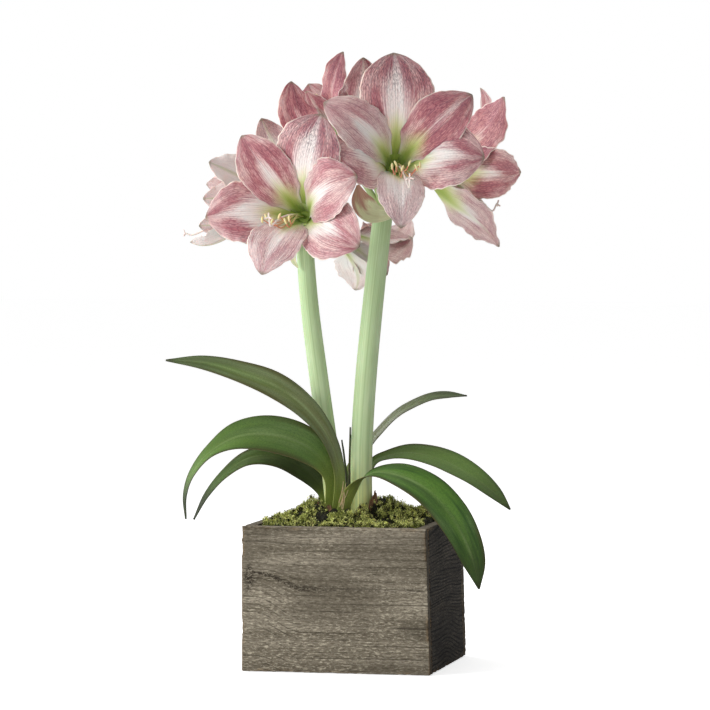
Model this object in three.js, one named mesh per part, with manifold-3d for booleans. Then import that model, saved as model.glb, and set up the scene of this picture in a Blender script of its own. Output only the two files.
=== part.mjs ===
// Amaryllis in a square wooden planter box.
//
// A weathered box of five boards holds potting soil with moss laid over it. One large bulb sits
// in a pocket of the soil. From its neck grow six long strap leaves, two young leaves and two
// flower stems, and each stem carries an umbel of four blooms.
//
// Millimetres, +Z up. The origin is the centre of the box's underside, and the box's sides lie
// along X and Y. The plant is laid out in axes of its own, [right, back, up], which stand turned
// about Z in the box.

import * as THREE from 'three';
import * as BufferGeometryUtils from 'three/addons/utils/BufferGeometryUtils.js';
import Module from 'manifold-3d';

const wasm = await Module();
wasm.setup();
const { Manifold, Mesh: SolidMesh } = wasm;

// ---------------------------------------------------------------- driving sizes

const GAP = 0.3; // between pieces that touch
const PLANT_TURN = THREE.MathUtils.degToRad(12.3);

const BOX = { side: 200, height: 151.5, wall: 12, lean: 4.5, edge: 1.2 };
const SOIL_TOP = 138;
const MOSS = { front: 151, back: 158, mound: 12, near: 0.34, far: 0.86, lump: 2.6, cells: 16, hole: 33.5 };

// bulb: [radius, height] from the basal plate to the neck
const BULB = { right: -10, back: 1, neckTop: 158 };
const BULB_OUTLINE = [[20, 62], [46, 88], [48, 104], [41, 122], [33, 137], [32, 158]];

// tunic scales round the neck: [turn, height], one of them a tall scrap beside the right-hand stem
const TUNIC = { radius: 30.5, sunk: 8, half: 8,
  scales: [[-12, 21], [28, 13], [70, 12], [112, 12], [190, 12], [232, 10], [300, 9]] };

const BLADE = { leaf: 1.5, petal: 1.0, bract: 0.8 }; // thicknesses

// perianth tube: its ends measured back from the throat, and the radii the tepals start at
const TUBE = { behind: 26, plug: 15, radius: 6.9, outer: 6.3, inner: 4.1, buried: 7 };
const OVARY = { length: 16, radius: 6.2 };
const PEDICEL = 3.4; // radius

// ---------------------------------------------------------------- the plant's layout

// flower stems: [right, back, up, radius] from the bulb's neck to the umbel
const SCAPES = {
  left: [[-20.5, 4, 158.3, 10.8], [-30, 3, 236, 10.2], [-40, 2, 308, 10], [-49, 1, 380, 9.6],
    [-55, 0, 456, 9.2]],
  right: [[6, -2, 158.3, 11.6], [6, -2, 225, 11.6], [10.4, -2, 300, 11.4], [18.6, -1, 386, 11],
    [29.5, 0, 484, 10.4]],
};

// leaves: side the leaf arches to, then [right, back, up, half width, tilt of its face to the front]
const LEAVES = {
  upper_left: { side: -1, run: [
    [-20, -16, 158.3, 7, 60], [-18, -19, 202, 8, 45], [-29, -26, 240, 9, 60], [-53, -29, 272, 12.5, 70],
    [-85, -26, 295, 14.5, 70], [-122, -18, 309, 12, 66], [-162, -6, 318.5, 8, 62], [-201, 6, 320.5, 1, 60]] },
  mid_left: { side: -1, run: [
    [-27.5, -12, 158.3, 7, 60], [-27, -15, 200, 11, 50], [-49, -19, 229, 19, 66],
    [-85, -28, 243, 20.5, 68], [-122, -38, 242.5, 16.5, 62], [-152, -46, 227, 8, 52],
    [-171, -51, 204, 4.5, 48], [-178.5, -54, 181, 3, 42], [-177.5, -56, 157, 1, 46]] },
  low_left: { side: -1, run: [
    [-28, 15, 158.3, 7, 70], [-35, 16, 184, 9, 70], [-59, 14, 208, 14, 70], [-86, 8, 219, 13, 64],
    [-115, 0, 216.5, 9, 58], [-139, -5, 200, 5.5, 54], [-158, -9, 178, 3.5, 52], [-171, -12, 153, 1, 50]] },
  front_right: { side: 1, run: [
    [-15, -22, 158.3, 7, -60], [-4, -27, 185, 9, -40], [16, -33, 202.5, 10, 14],
    [45, -43, 201.5, 15.5, 48], [75, -54, 187, 19, 58], [97, -63, 164, 19.5, 64], [112, -69, 139, 18, 62],
    [122.5, -73, 112, 13.5, 60], [128, -76, 85.5, 1, 60]] },
  mid_right: { side: 1, run: [
    [3, 16, 158.3, 7, 70], [7, 16.5, 187, 7, 62], [18, 18, 211, 6, 42], [35, 18, 219, 7.5, 38],
    [58, 18, 221.5, 13, 36], [82, 16, 217, 17, 35], [103, 12, 208.5, 18.5, 36], [126, 7, 195.5, 16, 37],
    [146, 2, 180, 10.5, 41], [163, -4, 163, 1, 46]] },
  upper_right: { side: 1, run: [
    [-9, 27, 158.3, 6, 60], [-5, 28, 200, 7, 60], [14, 26, 230, 8, 30], [26, 27, 244.5, 8, 26],
    [41, 30, 259, 9, 22], [57, 34, 269.5, 10.5, 20], [78, 38, 278.5, 11, 18], [99, 43, 281, 10, 17],
    [118.5, 48, 281, 1, 16]] },
};
const YOUNG_LEAVES = {
  tall: { side: -1, run: [[-7.6, 2, 158.3, 4.5, 11], [-7.4, 2, 195, 5.5, 11], [-6.6, 2, 228, 4, 11],
    [-6, 2, 250, 1, 11]] },
  short: { side: -1, run: [[-9, 14, 158.3, 4, 10], [-10.5, 13, 198, 4.5, 10], [-15, 12, 236, 1, 10]] },
};

// Each bloom: where its throat lies, which way it faces, and its six tepals. A tepal's angle is
// counted as one looks into the bloom, 0 to the right and 90 up. Its tip lies `reach` out from
// the bloom's axis and `ahead` of the throat. The three inner tepals lie over the three outer.
const BLOOMS = {
  front_left: { umbel: 'left', throat: [-58, -72, 476], faces: [-0.30, -0.92, 0.24], fine: true,
    stamens: { shift: -10, sink: 0.98 }, tepals: [
      { angle: 72, reach: 99, ahead: 46, half: 37, belly: 0.66 },
      { angle: 127, reach: 88, ahead: 46, half: 27, inner: true },
      { angle: 190, reach: 88, ahead: 46, half: 34 },
      { angle: 256, reach: 78, ahead: 46, half: 29, inner: true },
      { angle: -29, reach: 95, ahead: 46, half: 33, belly: 0.66 },
      { angle: 19, reach: 81, ahead: 50, half: 32, belly: 0.68, inner: true }] },
  front_right: { umbel: 'right', throat: [42, -66, 528], faces: [0.12, -0.92, 0.36], fine: true,
    stamens: { shift: 3, sink: 1.2, low: 42, dip: 1.18 }, tepals: [
      { angle: 92, reach: 105, ahead: 46, half: 39, belly: 0.68 },
      { angle: 149, reach: 92, ahead: 46, half: 27, inner: true },
      { angle: 37, reach: 94, ahead: 46, half: 29, inner: true },
      { angle: -8, reach: 86, ahead: 46, half: 38 },
      { angle: -94, reach: 90, ahead: 46, half: 25, inner: true },
      { angle: 180, reach: 72, ahead: 40, half: 40 }] },
  left: { umbel: 'left', throat: [-112, -6, 484], faces: [-0.95, 0.08, -0.05],
    stamens: { sink: 0.8, long: 69, low: 26, dip: 1.05, spread: 0.5 }, tepals: [
    { angle: 50, reach: 62, ahead: 36, half: 30, tip: 40, flare: 60 },
    { angle: 12, reach: 50, ahead: 43, half: 19, tip: 10, flare: 60, inner: true },
    { angle: -38, reach: 30, ahead: 52, half: 22, tip: 10, flare: 55 },
    { angle: -85, reach: 38, ahead: 66, half: 22, tip: -25, flare: 30, fold: 0.6, arch: 1, inner: true },
    { angle: 135, reach: 38, ahead: 46, half: 24, tip: 30, flare: 60, inner: true },
    { angle: 195, reach: 38, ahead: 46, half: 24, tip: 30, flare: 60 }] },
  right_low: { umbel: 'left', throat: [-6, 42, 444], faces: [0.62, 0.62, -0.48],
    stamens: { sink: 0.1, spread: 0.4, low: 4, long: 54 }, tepals: [
    { angle: 126, reach: 48, ahead: 46, half: 44, tip: 75, belly: 0.5, bend: 12 },
    { angle: 96, reach: 64, ahead: 58, half: 36, tip: 75, belly: 0.55, inner: true },
    { angle: 212, reach: 26, ahead: 44, half: 22, tip: 70, inner: true },
    { angle: -85, reach: 39, ahead: 34, half: 37, tip: 100, belly: 0.5 },
    { angle: -35, reach: 36, ahead: 40, half: 22, inner: true },
    { angle: 30, reach: 50, ahead: 36, half: 26 }] },
  right: { umbel: 'right', throat: [97, 28, 518], faces: [0.93, 0.36, 0.03],
    stamens: { sink: 0.8, shift: -9, spread: 0.7, low: 34, dip: 1.2, long: 52 }, tepals: [
    { angle: 62, reach: 102, ahead: 58, half: 18, tip: 100, inner: true },
    { angle: 122, reach: 93, ahead: 47, half: 36, tip: 90, flare: 30, belly: 0.5 },
    { angle: 180, reach: 108, ahead: 35, half: 28, tip: 95, belly: 0.44, inner: true },
    { angle: 246, reach: 85, ahead: 44, half: 35, tip: 70, flare: 55, belly: 0.45, bend: 3 },
    { angle: -60, reach: 60, ahead: 45, half: 25, inner: true },
    { angle: 0, reach: 80, ahead: 45, half: 27 }] },
  back_right: { umbel: 'right', throat: [11, 76, 554], faces: [-0.05, 0.90, 0.42],
    stamens: { sink: 0.75, low: 15 }, tepals: [
    { angle: 88, reach: 77, ahead: 45, half: 26, tip: 95, belly: 0.5 },
    { angle: 48, reach: 53, ahead: 48, half: 22, inner: true },
    { angle: 150, reach: 60, ahead: 48, half: 24, inner: true },
    { angle: -25, reach: 58, ahead: 42, half: 24 },
    { angle: -85, reach: 66, ahead: 46, half: 24, inner: true },
    { angle: 207, reach: 72, ahead: 42, half: 27 }] },
  up_left: { umbel: 'right', throat: [-20, 34, 564], faces: [-0.42, 0.20, 0.88],
    stamens: { sink: 0.6, spread: 0.4, low: 12, long: 46 }, tepals: [
    { angle: 100, reach: 43, ahead: 72, half: 21, tip: 55, flare: -20, belly: 0.4, twist: 78 },
    { angle: 0, reach: 33, ahead: 46, half: 14, tip: 10, inner: true },
    { angle: -25, reach: 29, ahead: 65, half: 21, tip: -25, flare: 62, twist: 75, arch: 1.25 },
    { angle: 160, reach: 34, ahead: 56, half: 20, tip: 20, inner: true },
    { angle: 215, reach: 30, ahead: 66, half: 24, tip: 20 },
    { angle: 265, reach: 30, ahead: 56, half: 20, tip: 20, inner: true }] },
  back_left: { umbel: 'left', throat: [-64, 72, 509], faces: [-0.25, 0.93, 0.25],
    stamens: { sink: 0.5, spread: 0.8, low: 12 }, tepals: [
    { angle: 62, reach: 66, ahead: 44, half: 24, tip: 100, belly: 0.5, inner: true },
    { angle: 5, reach: 54, ahead: 42, half: 24 },
    { angle: 118, reach: 56, ahead: 42, half: 24 },
    { angle: 168, reach: 46, ahead: 46, half: 22, inner: true },
    { angle: 228, reach: 68, ahead: 42, half: 26 },
    { angle: -73, reach: 58, ahead: 46, half: 24, inner: true }] },
};

// how far a bloom's filaments sink, shift aside and spread, how low and long its style is, and how
// much lower the style dips before its end
const STAMENS = { sink: 1, shift: 0, spread: 1, low: 20, long: 66, dip: 1.36 };

// papery bracts at the top of each flower stem: [right, back, up, half width, tilt]
const SPATHES = {
  left: { side: -1, run: [[-60, -8.5, 452, 5, 70], [-65, -10.5, 440, 4, 70], [-65.5, -12, 427, 3, 70],
    [-61, -11.5, 419, 1, 70]] },
  right: { side: -1, run: [[36, -10, 476, 6, 84], [24, -10.6, 475, 9, 84], [13, -15, 479, 12, 80],
    [5, -19, 490, 11, 80], [2, -20, 506, 1.5, 80]] },
};

const COLORS = {
  wood: 0x7d7568,
  soil: 0x3a2d22,
  moss: 0x93a043,
  bulb: 0x7a4b2c,
  scape: 0xa9c78f,
  leaf: 0x3f6b35,
  bronze: 0x6f6f3e,
  petal: 0xdb9aa2,
  stamen: 0xe6cf9a,
  bract: 0xb9a877,
};

// ---------------------------------------------------------------- solids and meshes

function solidOf(geometry) {
  const bare = geometry.clone();
  bare.deleteAttribute('normal');
  bare.deleteAttribute('uv');
  const merged = BufferGeometryUtils.mergeVertices(bare, 1e-4);
  const index = merged.getIndex();
  const solid = new Manifold(new SolidMesh({
    numProp: 3,
    vertProperties: new Float32Array(merged.getAttribute('position').array),
    triVerts: new Uint32Array(index.array),
  }));
  return solid;
}

function geometryOf(solid) {
  const mesh = solid.getMesh();
  const geometry = new THREE.BufferGeometry();
  geometry.setAttribute('position', new THREE.BufferAttribute(new Float32Array(mesh.vertProperties), 3));
  geometry.setIndex(new THREE.BufferAttribute(new Uint32Array(mesh.triVerts), 1));
  geometry.computeVertexNormals();
  return geometry;
}

// Joins solids into one body. Slivers and pockets that crossing blades leave are not kept.
function joined(solids) {
  const bodies = solids.reduce((whole, next) => whole.add(next)).decompose();
  return bodies.reduce((largest, next) => (next.volume() > largest.volume() ? next : largest));
}

function addMesh(parent, name, geometry, color, roughness = 0.7) {
  const material = new THREE.MeshStandardMaterial({ color, roughness, metalness: 0 });
  const mesh = new THREE.Mesh(geometry, material);
  mesh.name = name;
  parent.add(mesh);
  return mesh;
}

// A closed skin over rings of points, each end closed by a fan round its middle.
function loft(rings) {
  const sides = rings[0].length;
  const points = rings.flat();
  const middles = [rings[0], rings[rings.length - 1]].map((ring) => {
    const middle = new THREE.Vector3();
    ring.forEach((point) => middle.addScaledVector(point, 1 / sides));
    return middle;
  });
  const first = points.length;
  const last = first + 1;
  const index = [];
  for (let side = 0; side < sides; side += 1) {
    const next = (side + 1) % sides;
    for (let row = 0; row < rings.length - 1; row += 1) {
      const a = row * sides + side;
      const b = row * sides + next;
      index.push(a, b, b + sides, a, b + sides, a + sides);
    }
    const end = (rings.length - 1) * sides;
    index.push(first, next, side, last, end + side, end + next);
  }
  return geometryFrom([...points, ...middles], index);
}

// A thin blade: one grid of points for each face, split into triangles alike, and a rim.
function blade(front, back) {
  const rows = front.length - 1;
  const cols = front[0].length - 1;
  const points = [...front.flat(), ...back.flat()];
  const other = front.flat().length;
  const at = (row, col) => row * (cols + 1) + col;
  const index = [];
  for (let row = 0; row < rows; row += 1) {
    for (let col = 0; col < cols; col += 1) {
      const [a, b, c, d] = [at(row, col), at(row + 1, col), at(row + 1, col + 1), at(row, col + 1)];
      index.push(a, b, c, a, c, d);
      index.push(other + a, other + c, other + b, other + a, other + d, other + c);
    }
  }
  const rim = [];
  for (let col = 0; col < cols; col += 1) rim.push(at(0, col));
  for (let row = 0; row < rows; row += 1) rim.push(at(row, cols));
  for (let col = cols; col > 0; col -= 1) rim.push(at(rows, col));
  for (let row = rows; row > 0; row -= 1) rim.push(at(row, 0));
  rim.forEach((a, place) => {
    const b = rim[(place + 1) % rim.length];
    index.push(a, other + b, other + a, a, b, other + b);
  });
  return geometryFrom(points, index);
}

function geometryFrom(points, index) {
  const geometry = new THREE.BufferGeometry().setFromPoints(points);
  geometry.setIndex(index);
  geometry.computeVertexNormals();
  return geometry;
}

function vector(list) {
  return new THREE.Vector3(list[0], list[1], list[2]);
}

function ease(from, to, value) {
  return THREE.MathUtils.smoothstep(value, from, to);
}

// A smooth value along a run of stations, for each of their numbers.
function along(run, share) {
  const place = share * (run.length - 1);
  const start = Math.min(run.length - 2, Math.floor(place));
  const part = place - start;
  return run[0].map((_, which) => {
    const at = (station) => {
      if (station < 0) return 2 * run[0][which] - run[1][which];
      if (station >= run.length) return 2 * run[run.length - 1][which] - run[run.length - 2][which];
      return run[station][which];
    };
    const [p0, p1, p2, p3] = [at(start - 1), at(start), at(start + 1), at(start + 2)];
    return 0.5 * (2 * p1 + (p2 - p0) * part + (2 * p0 - 5 * p1 + 4 * p2 - p3) * part ** 2
      + (3 * p1 - p0 - 3 * p2 + p3) * part ** 3);
  });
}

function directionAlong(run, share) {
  const ahead = vector(along(run, Math.min(1, share + 0.004)));
  return ahead.sub(vector(along(run, Math.max(0, share - 0.004)))).normalize();
}

// A round stalk along stations of [right, back, up, radius]. Its foot is level where it stands.
function stalk(run, sides, rows, levelFoot = false) {
  const rings = [];
  for (let row = 0; row <= rows; row += 1) {
    const share = row / rows;
    const station = along(run, share);
    const heading = levelFoot && row === 0 ? new THREE.Vector3(0, 0, 1) : directionAlong(run, share);
    const across = new THREE.Vector3(0, 1, 0.01).cross(heading).normalize();
    const over = heading.clone().cross(across);
    const ring = [];
    for (let side = 0; side < sides; side += 1) {
      const turn = 2 * Math.PI * side / sides;
      ring.push(vector(station).addScaledVector(across, station[3] * Math.cos(turn))
        .addScaledVector(over, station[3] * Math.sin(turn)));
    }
    rings.push(ring);
  }
  return loft(rings);
}

// ---------------------------------------------------------------- box

// Four walls, the front and back ones as wide as the box and the side ones between them. The
// right-hand wall leans in a little, as in a box nailed up from rough boards.

const inner = BOX.side / 2 - BOX.wall;

// how far the right-hand wall has leant in at a height
function leanAt(height) {
  return BOX.lean * height / BOX.height;
}

// A section in X and Z, drawn in by `inset`. An edge that leans follows the right-hand wall.
function section(left, right, bottom, top, leans, inset = 0) {
  const shift = (edge, height) => (leans[edge] ? leanAt(height) : 0);
  const outline = new THREE.Shape();
  outline.moveTo(left - shift('left', bottom) + inset, bottom + inset);
  outline.lineTo(right - shift('right', bottom) - inset, bottom + inset);
  outline.lineTo(right - shift('right', top) - inset, top - inset);
  outline.lineTo(left - shift('left', top) + inset, top - inset);
  outline.closePath();
  return outline;
}

// extrudes a section along Y between two places, with its edges worn round by `edge`
function alongY(outline, near, far, edge = 0) {
  const geometry = new THREE.ExtrudeGeometry(outline, {
    depth: far - near - 2 * edge,
    bevelEnabled: edge > 0,
    bevelSize: edge,
    bevelThickness: edge,
    bevelSegments: 2,
  });
  geometry.rotateX(Math.PI / 2);
  geometry.translate(0, far - edge, 0);
  return geometry;
}

function addBox(parent) {
  const half = BOX.side / 2;
  const within = inner - GAP;
  const boards = [
    { name: 'front', left: -half, right: half, leans: { right: true }, near: -half, far: -inner },
    { name: 'back', left: -half, right: half, leans: { right: true }, near: inner, far: half },
    { name: 'left', left: -half, right: -inner, leans: {}, near: -within, far: within },
    { name: 'right', left: inner, right: half, leans: { left: true, right: true },
      near: -within, far: within },
  ];
  boards.forEach(({ name, left, right, leans, near, far }) => {
    const outline = section(left, right, 0, BOX.height, leans, BOX.edge);
    addMesh(parent, `board_${name}`, alongY(outline, near, far, BOX.edge), COLORS.wood, 0.9);
  });
  const floor = section(-within, within, 0, BOX.wall, { right: true });
  addMesh(parent, 'board_bottom', alongY(floor, -within, within), COLORS.wood, 0.9);
}

// ---------------------------------------------------------------- soil, moss and bulb

// The bulb's outline turned round, made larger by `extra`.
function bulbGeometry(extra, top) {
  const outline = BULB_OUTLINE.map(([radius, height]) => new THREE.Vector2(radius + extra, height));
  const foot = new THREE.Vector2(0, BULB_OUTLINE[0][1] - extra);
  outline[0].y -= extra;
  outline[outline.length - 1].y = top;
  const geometry = new THREE.LatheGeometry([foot, ...outline, new THREE.Vector2(0, top)], 20);
  geometry.rotateX(Math.PI / 2);
  geometry.translate(BULB.right, BULB.back, 0);
  return geometry;
}

// turns a geometry laid out in the plant's axes into the box's
function inBox(geometry) {
  return geometry.rotateZ(PLANT_TURN);
}

function addSoil(parent) {
  const within = inner - GAP;
  const outline = section(-within, within, BOX.wall + GAP, SOIL_TOP, { right: true });
  const fill = alongY(outline, -within, within);
  const pocket = inBox(bulbGeometry(GAP + 0.1, SOIL_TOP + 30));
  addMesh(parent, 'soil', geometryOf(solidOf(fill).subtract(solidOf(pocket))), COLORS.soil, 1);
}

// The moss rises from the front wall to the back one, and to a mound round the stems. It has
// clumps all over it.
function mossHeight(x, y) {
  const far = Math.hypot(x + 10, (y - 10) * 0.9) / inner;
  const bed = MOSS.front + (MOSS.back - MOSS.front) * ease(-60, 50, y);
  const mound = MOSS.mound * (1 - ease(MOSS.near, MOSS.far, far));
  const clumps = Math.sin(x * 0.27 + 1.3 * Math.sin(y * 0.11)) * Math.cos(y * 0.31 + 0.9 * Math.sin(x * 0.13))
    + 0.6 * Math.sin(x * 0.47 + y * 0.36 + 2);
  return bed + mound + MOSS.lump * clumps;
}

function addMoss(parent) {
  const near = -inner + GAP;
  const right = inner - GAP - leanAt(MOSS.back);
  const cells = MOSS.cells;
  const top = [];
  const bottom = [];
  for (let row = 0; row <= cells; row += 1) {
    const y = near - 2 * near * row / cells;
    const line = [];
    const under = [];
    for (let col = 0; col <= cells; col += 1) {
      const x = near + (right - near) * col / cells;
      line.push(new THREE.Vector3(x, y, mossHeight(x, y)));
      under.push(new THREE.Vector3(x, y, SOIL_TOP + GAP));
    }
    top.push(line);
    bottom.push(under);
  }
  const hole = new THREE.CylinderGeometry(MOSS.hole, MOSS.hole, 100, 20);
  hole.rotateX(Math.PI / 2);
  hole.translate(BULB.right, BULB.back, SOIL_TOP + 20);
  const solid = solidOf(blade(bottom, top)).subtract(solidOf(inBox(hole)));
  addMesh(parent, 'moss', geometryOf(solid), COLORS.moss, 1);
}

// A dry tunic scale that stands up at the bulb's neck: [turn about the neck, height above it].
function tunicScale([turn, tall]) {
  const { radius, sunk, half } = TUNIC;
  const angle = THREE.MathUtils.degToRad(turn);
  const out = new THREE.Vector3(Math.cos(angle), Math.sin(angle), 0);
  const side = new THREE.Vector3(-out.y, out.x, 0);
  const base = new THREE.Vector3(BULB.right, BULB.back, BULB.neckTop - sunk);
  const faces = [BLADE.bract, 0].map((depth) => [0, 0.35, 0.7, 1].map((share) => {
    const reach = half * (1 - 0.75 * share ** 2);
    return [-1, -0.4, 0.3, 1].map((across) => {
      const from = radius - depth + 1.2 * Math.sin(share * 3) - 0.02 * (across * reach) ** 2;
      return base.clone().addScaledVector(out, from).addScaledVector(side, across * reach)
        .setZ(base.z + (tall + sunk) * share);
    });
  }));
  return solidOf(blade(faces[0], faces[1]));
}

function addBulb(parent) {
  const solids = [solidOf(bulbGeometry(0, BULB.neckTop)), ...TUNIC.scales.map(tunicScale)];
  addMesh(parent, 'bulb', geometryOf(joined(solids)), COLORS.bulb, 0.8);
}

// ---------------------------------------------------------------- leaves and bracts

// A strap leaf along its run: a shallow gutter of even thickness, level where it stands.
function strap(leaf, thickness, rows, cols, gutter = 0.18) {
  const toFront = new THREE.Vector3(0, -1, 0);
  const grids = [1, -1].map(() => []);
  for (let row = 0; row <= rows; row += 1) {
    const share = row / rows;
    const station = along(leaf.run, share);
    const heading = row === 0 && leaf.stands ? new THREE.Vector3(0, 0, 1) : directionAlong(leaf.run, share);
    const front = toFront.clone().addScaledVector(heading, -heading.dot(toFront)).normalize();
    const over = heading.clone().cross(front).multiplyScalar(-leaf.side);
    const tilt = THREE.MathUtils.degToRad(station[4]);
    const across = front.clone().multiplyScalar(Math.cos(tilt)).addScaledVector(over, -Math.sin(tilt));
    const face = over.clone().multiplyScalar(Math.cos(tilt)).addScaledVector(front, Math.sin(tilt));
    const lines = [[], []];
    for (let col = 0; col <= cols; col += 1) {
      const share2 = -1 + 2 * col / cols;
      const out = share2 * station[3];
      const middle = vector(station).addScaledVector(across, out)
        .addScaledVector(face, gutter * Math.abs(out));
      lines[0].push(middle.clone().addScaledVector(face, thickness / 2));
      lines[1].push(middle.clone().addScaledVector(face, -thickness / 2));
    }
    grids[0].push(lines[0]);
    grids[1].push(lines[1]);
  }
  return leaf.side < 0 ? blade(grids[0], grids[1]) : blade(grids[1], grids[0]);
}

function addLeaves(parent) {
  Object.entries(LEAVES).forEach(([name, leaf]) => {
    const color = name.startsWith('upper') ? COLORS.bronze : COLORS.leaf;
    addMesh(parent, `leaf_${name}`, strap({ ...leaf, stands: true }, BLADE.leaf, 18, 2), color, 0.45);
  });
  Object.entries(YOUNG_LEAVES).forEach(([name, leaf]) => {
    const young = strap({ ...leaf, stands: true }, BLADE.leaf, 7, 2);
    addMesh(parent, `young_leaf_${name}`, young, COLORS.leaf, 0.45);
  });
}

// ---------------------------------------------------------------- flower stems

function bloomAxes(bloom) {
  const faces = vector(bloom.faces).normalize();
  const up = new THREE.Vector3(0, 0, 1).addScaledVector(faces, -faces.z).normalize();
  const right = up.clone().cross(faces);
  return { faces, up, right, throat: vector(bloom.throat) };
}

// A point on the bloom's axis, ahead of its throat.
function onAxis(axes, ahead) {
  return axes.throat.clone().addScaledVector(axes.faces, ahead);
}

// The pedicel leaves the top of the stem, bends to the bloom's axis and swells into the ovary.
function pedicelRun(bloom) {
  const axes = bloomAxes(bloom);
  const scape = SCAPES[bloom.umbel];
  const start = vector(scape[scape.length - 1]);
  start.z -= 6;
  const ovaryEnd = onAxis(axes, -TUBE.behind - GAP);
  const ovaryStart = onAxis(axes, -TUBE.behind - GAP - OVARY.length);
  const middle = start.clone().lerp(ovaryStart, 0.5);
  middle.addScaledVector(axes.faces, -0.12 * start.distanceTo(ovaryStart));
  const stations = [[start, PEDICEL], [middle, PEDICEL], [ovaryStart, PEDICEL + 0.6],
    [ovaryStart.clone().lerp(ovaryEnd, 0.55), OVARY.radius], [ovaryEnd, TUBE.radius - 0.4]];
  return stations.map(([point, radius]) => [point.x, point.y, point.z, radius]);
}

// A flower stem with the pedicels of its umbel, made thicker by `extra`.
function scapeSolid(umbel, extra = 0) {
  const thicker = (run) => run.map(([right, back, up, radius]) => [right, back, up, radius + extra]);
  const pedicels = Object.values(BLOOMS).filter((bloom) => bloom.umbel === umbel)
    .map((bloom) => solidOf(stalk(thicker(pedicelRun(bloom)), 6, 5)));
  return joined([solidOf(stalk(thicker(SCAPES[umbel]), 12, 7, true)), ...pedicels]);
}

function addScapes(parent) {
  Object.keys(SCAPES).forEach((umbel) => {
    addMesh(parent, `scape_${umbel}`, geometryOf(scapeSolid(umbel)), COLORS.scape, 0.5);
  });
}

function addSpathes(parent) {
  Object.entries(SPATHES).forEach(([umbel, bract]) => {
    const sheet = solidOf(strap(bract, BLADE.bract, 7, 4, 0.35));
    const clear = joined([sheet.subtract(scapeSolid(umbel, GAP))]);
    addMesh(parent, `spathe_${umbel}`, geometryOf(clear), COLORS.bract, 0.8);
  });
}

// ---------------------------------------------------------------- blooms

// How wide a tepal is at a share of its length: 1 at its belly, pointed at its tip.
function tepalWidth(share, belly) {
  if (share < belly) return 0.2 + 0.8 * Math.sin(Math.PI / 2 * share / belly) ** 1.5;
  return Math.max(0.03, Math.max(0, Math.cos(Math.PI / 2 * (share - belly) / (1 - belly))) ** 0.7);
}

// A tepal starts in the tube, wraps round the axis there, flattens as it flares out, and curls
// back at its tip. It has a crease along its middle and waved edges.
function tepalBlade(bloom, tepal, order, rows, cols) {
  const { faces, up, right, throat } = bloomAxes(bloom);
  const { angle, reach, ahead, half, inner: lies = false, tip = 105, flare = 12, belly = 0.62,
    bend = 0, twist = 0, fold = 0, arch = 1 } = tepal;
  const turn = THREE.MathUtils.degToRad(angle);
  const outward = right.clone().multiplyScalar(Math.cos(turn)).addScaledVector(up, Math.sin(turn));
  const sideways = faces.clone().cross(outward);
  const start = new THREE.Vector2(lies ? TUBE.inner : TUBE.outer, -TUBE.behind + 2);
  const end = new THREE.Vector2(reach, ahead);
  const span = start.distanceTo(end);
  const leaving = THREE.MathUtils.degToRad(flare);
  const arriving = THREE.MathUtils.degToRad(tip);
  const pull = arch * span;
  const leave = new THREE.Vector2(Math.sin(leaving), Math.cos(leaving)).multiplyScalar(0.42 * pull);
  const arrive = new THREE.Vector2(Math.sin(arriving), Math.cos(arriving)).multiplyScalar(0.36 * pull);
  const midrib = new THREE.CubicBezierCurve(start, start.clone().add(leave), end.clone().sub(arrive), end);
  const front = [];
  const back = [];
  const first = flare < 30 ? TUBE.buried / (1.26 * pull) : 0; // it comes out of the tube's end
  for (let row = 0; row <= rows; row += 1) {
    const share = first + (1 - first) * row / rows;
    const place = midrib.getPoint(share);
    const slope = midrib.getTangent(share);
    const middle = throat.clone().addScaledVector(outward, place.x).addScaledVector(faces, place.y)
      .addScaledVector(sideways, bend * share ** 2);
    const heading = outward.clone().multiplyScalar(slope.x).addScaledVector(faces, slope.y).normalize();
    const across = sideways.clone();
    const face = heading.clone().cross(across);
    const rolled = THREE.MathUtils.degToRad(twist) * ease(0.1, 0.9, share);
    const widthway = across.clone().multiplyScalar(Math.cos(rolled)).addScaledVector(face, Math.sin(rolled));
    const normal = face.clone().multiplyScalar(Math.cos(rolled)).addScaledVector(across, -Math.sin(rolled));
    const width = Math.min(half * tepalWidth(share, belly), place.x * (0.72 + 1.6 * ease(0.25, 0.6, share)));
    const curve = 0.9 / Math.max(place.x, 4) * (1 - ease(0.05, 0.5, share));
    const frontRow = [];
    const backRow = [];
    for (let col = 0; col <= cols; col += 1) {
      const side = -1 + 2 * col / cols;
      const arc = THREE.MathUtils.clamp(side * width * curve, -2.4, 2.4);
      const out = curve > 1e-5 ? Math.sin(arc) / curve : side * width;
      let lift = curve > 1e-5 ? (1 - Math.cos(arc)) / curve : 0;
      const ripple = Math.sin(2 * Math.PI * 2.2 * share + 1.7 * order + (side > 0 ? 1.9 : 0));
      const rippled = (0.5 + 2.4 * share) * ease(0.25, 0.6, share) * (1 - ease(0.9, 1, share));
      lift += rippled * ripple * Math.abs(side) ** 2.2;
      lift -= 0.9 * Math.exp(-((side / 0.2) ** 2)) * ease(0.1, 0.3, share) * (1 - ease(0.85, 1, share));
      lift += fold * Math.abs(out) * ease(0.15, 0.5, share) + (lies ? 3 * ease(0.1, 0.5, share) : 0);
      const point = middle.clone().addScaledVector(widthway, out).addScaledVector(normal, lift);
      frontRow.push(point.clone().addScaledVector(normal, BLADE.petal / 2));
      backRow.push(point.clone().addScaledVector(normal, -BLADE.petal / 2));
    }
    front.push(frontRow);
    back.push(backRow);
  }
  return blade(front, back);
}

function axisRun(axes, stations) {
  return stations.map(([ahead, radius]) => [...onAxis(axes, ahead).toArray(), radius]);
}

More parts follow.
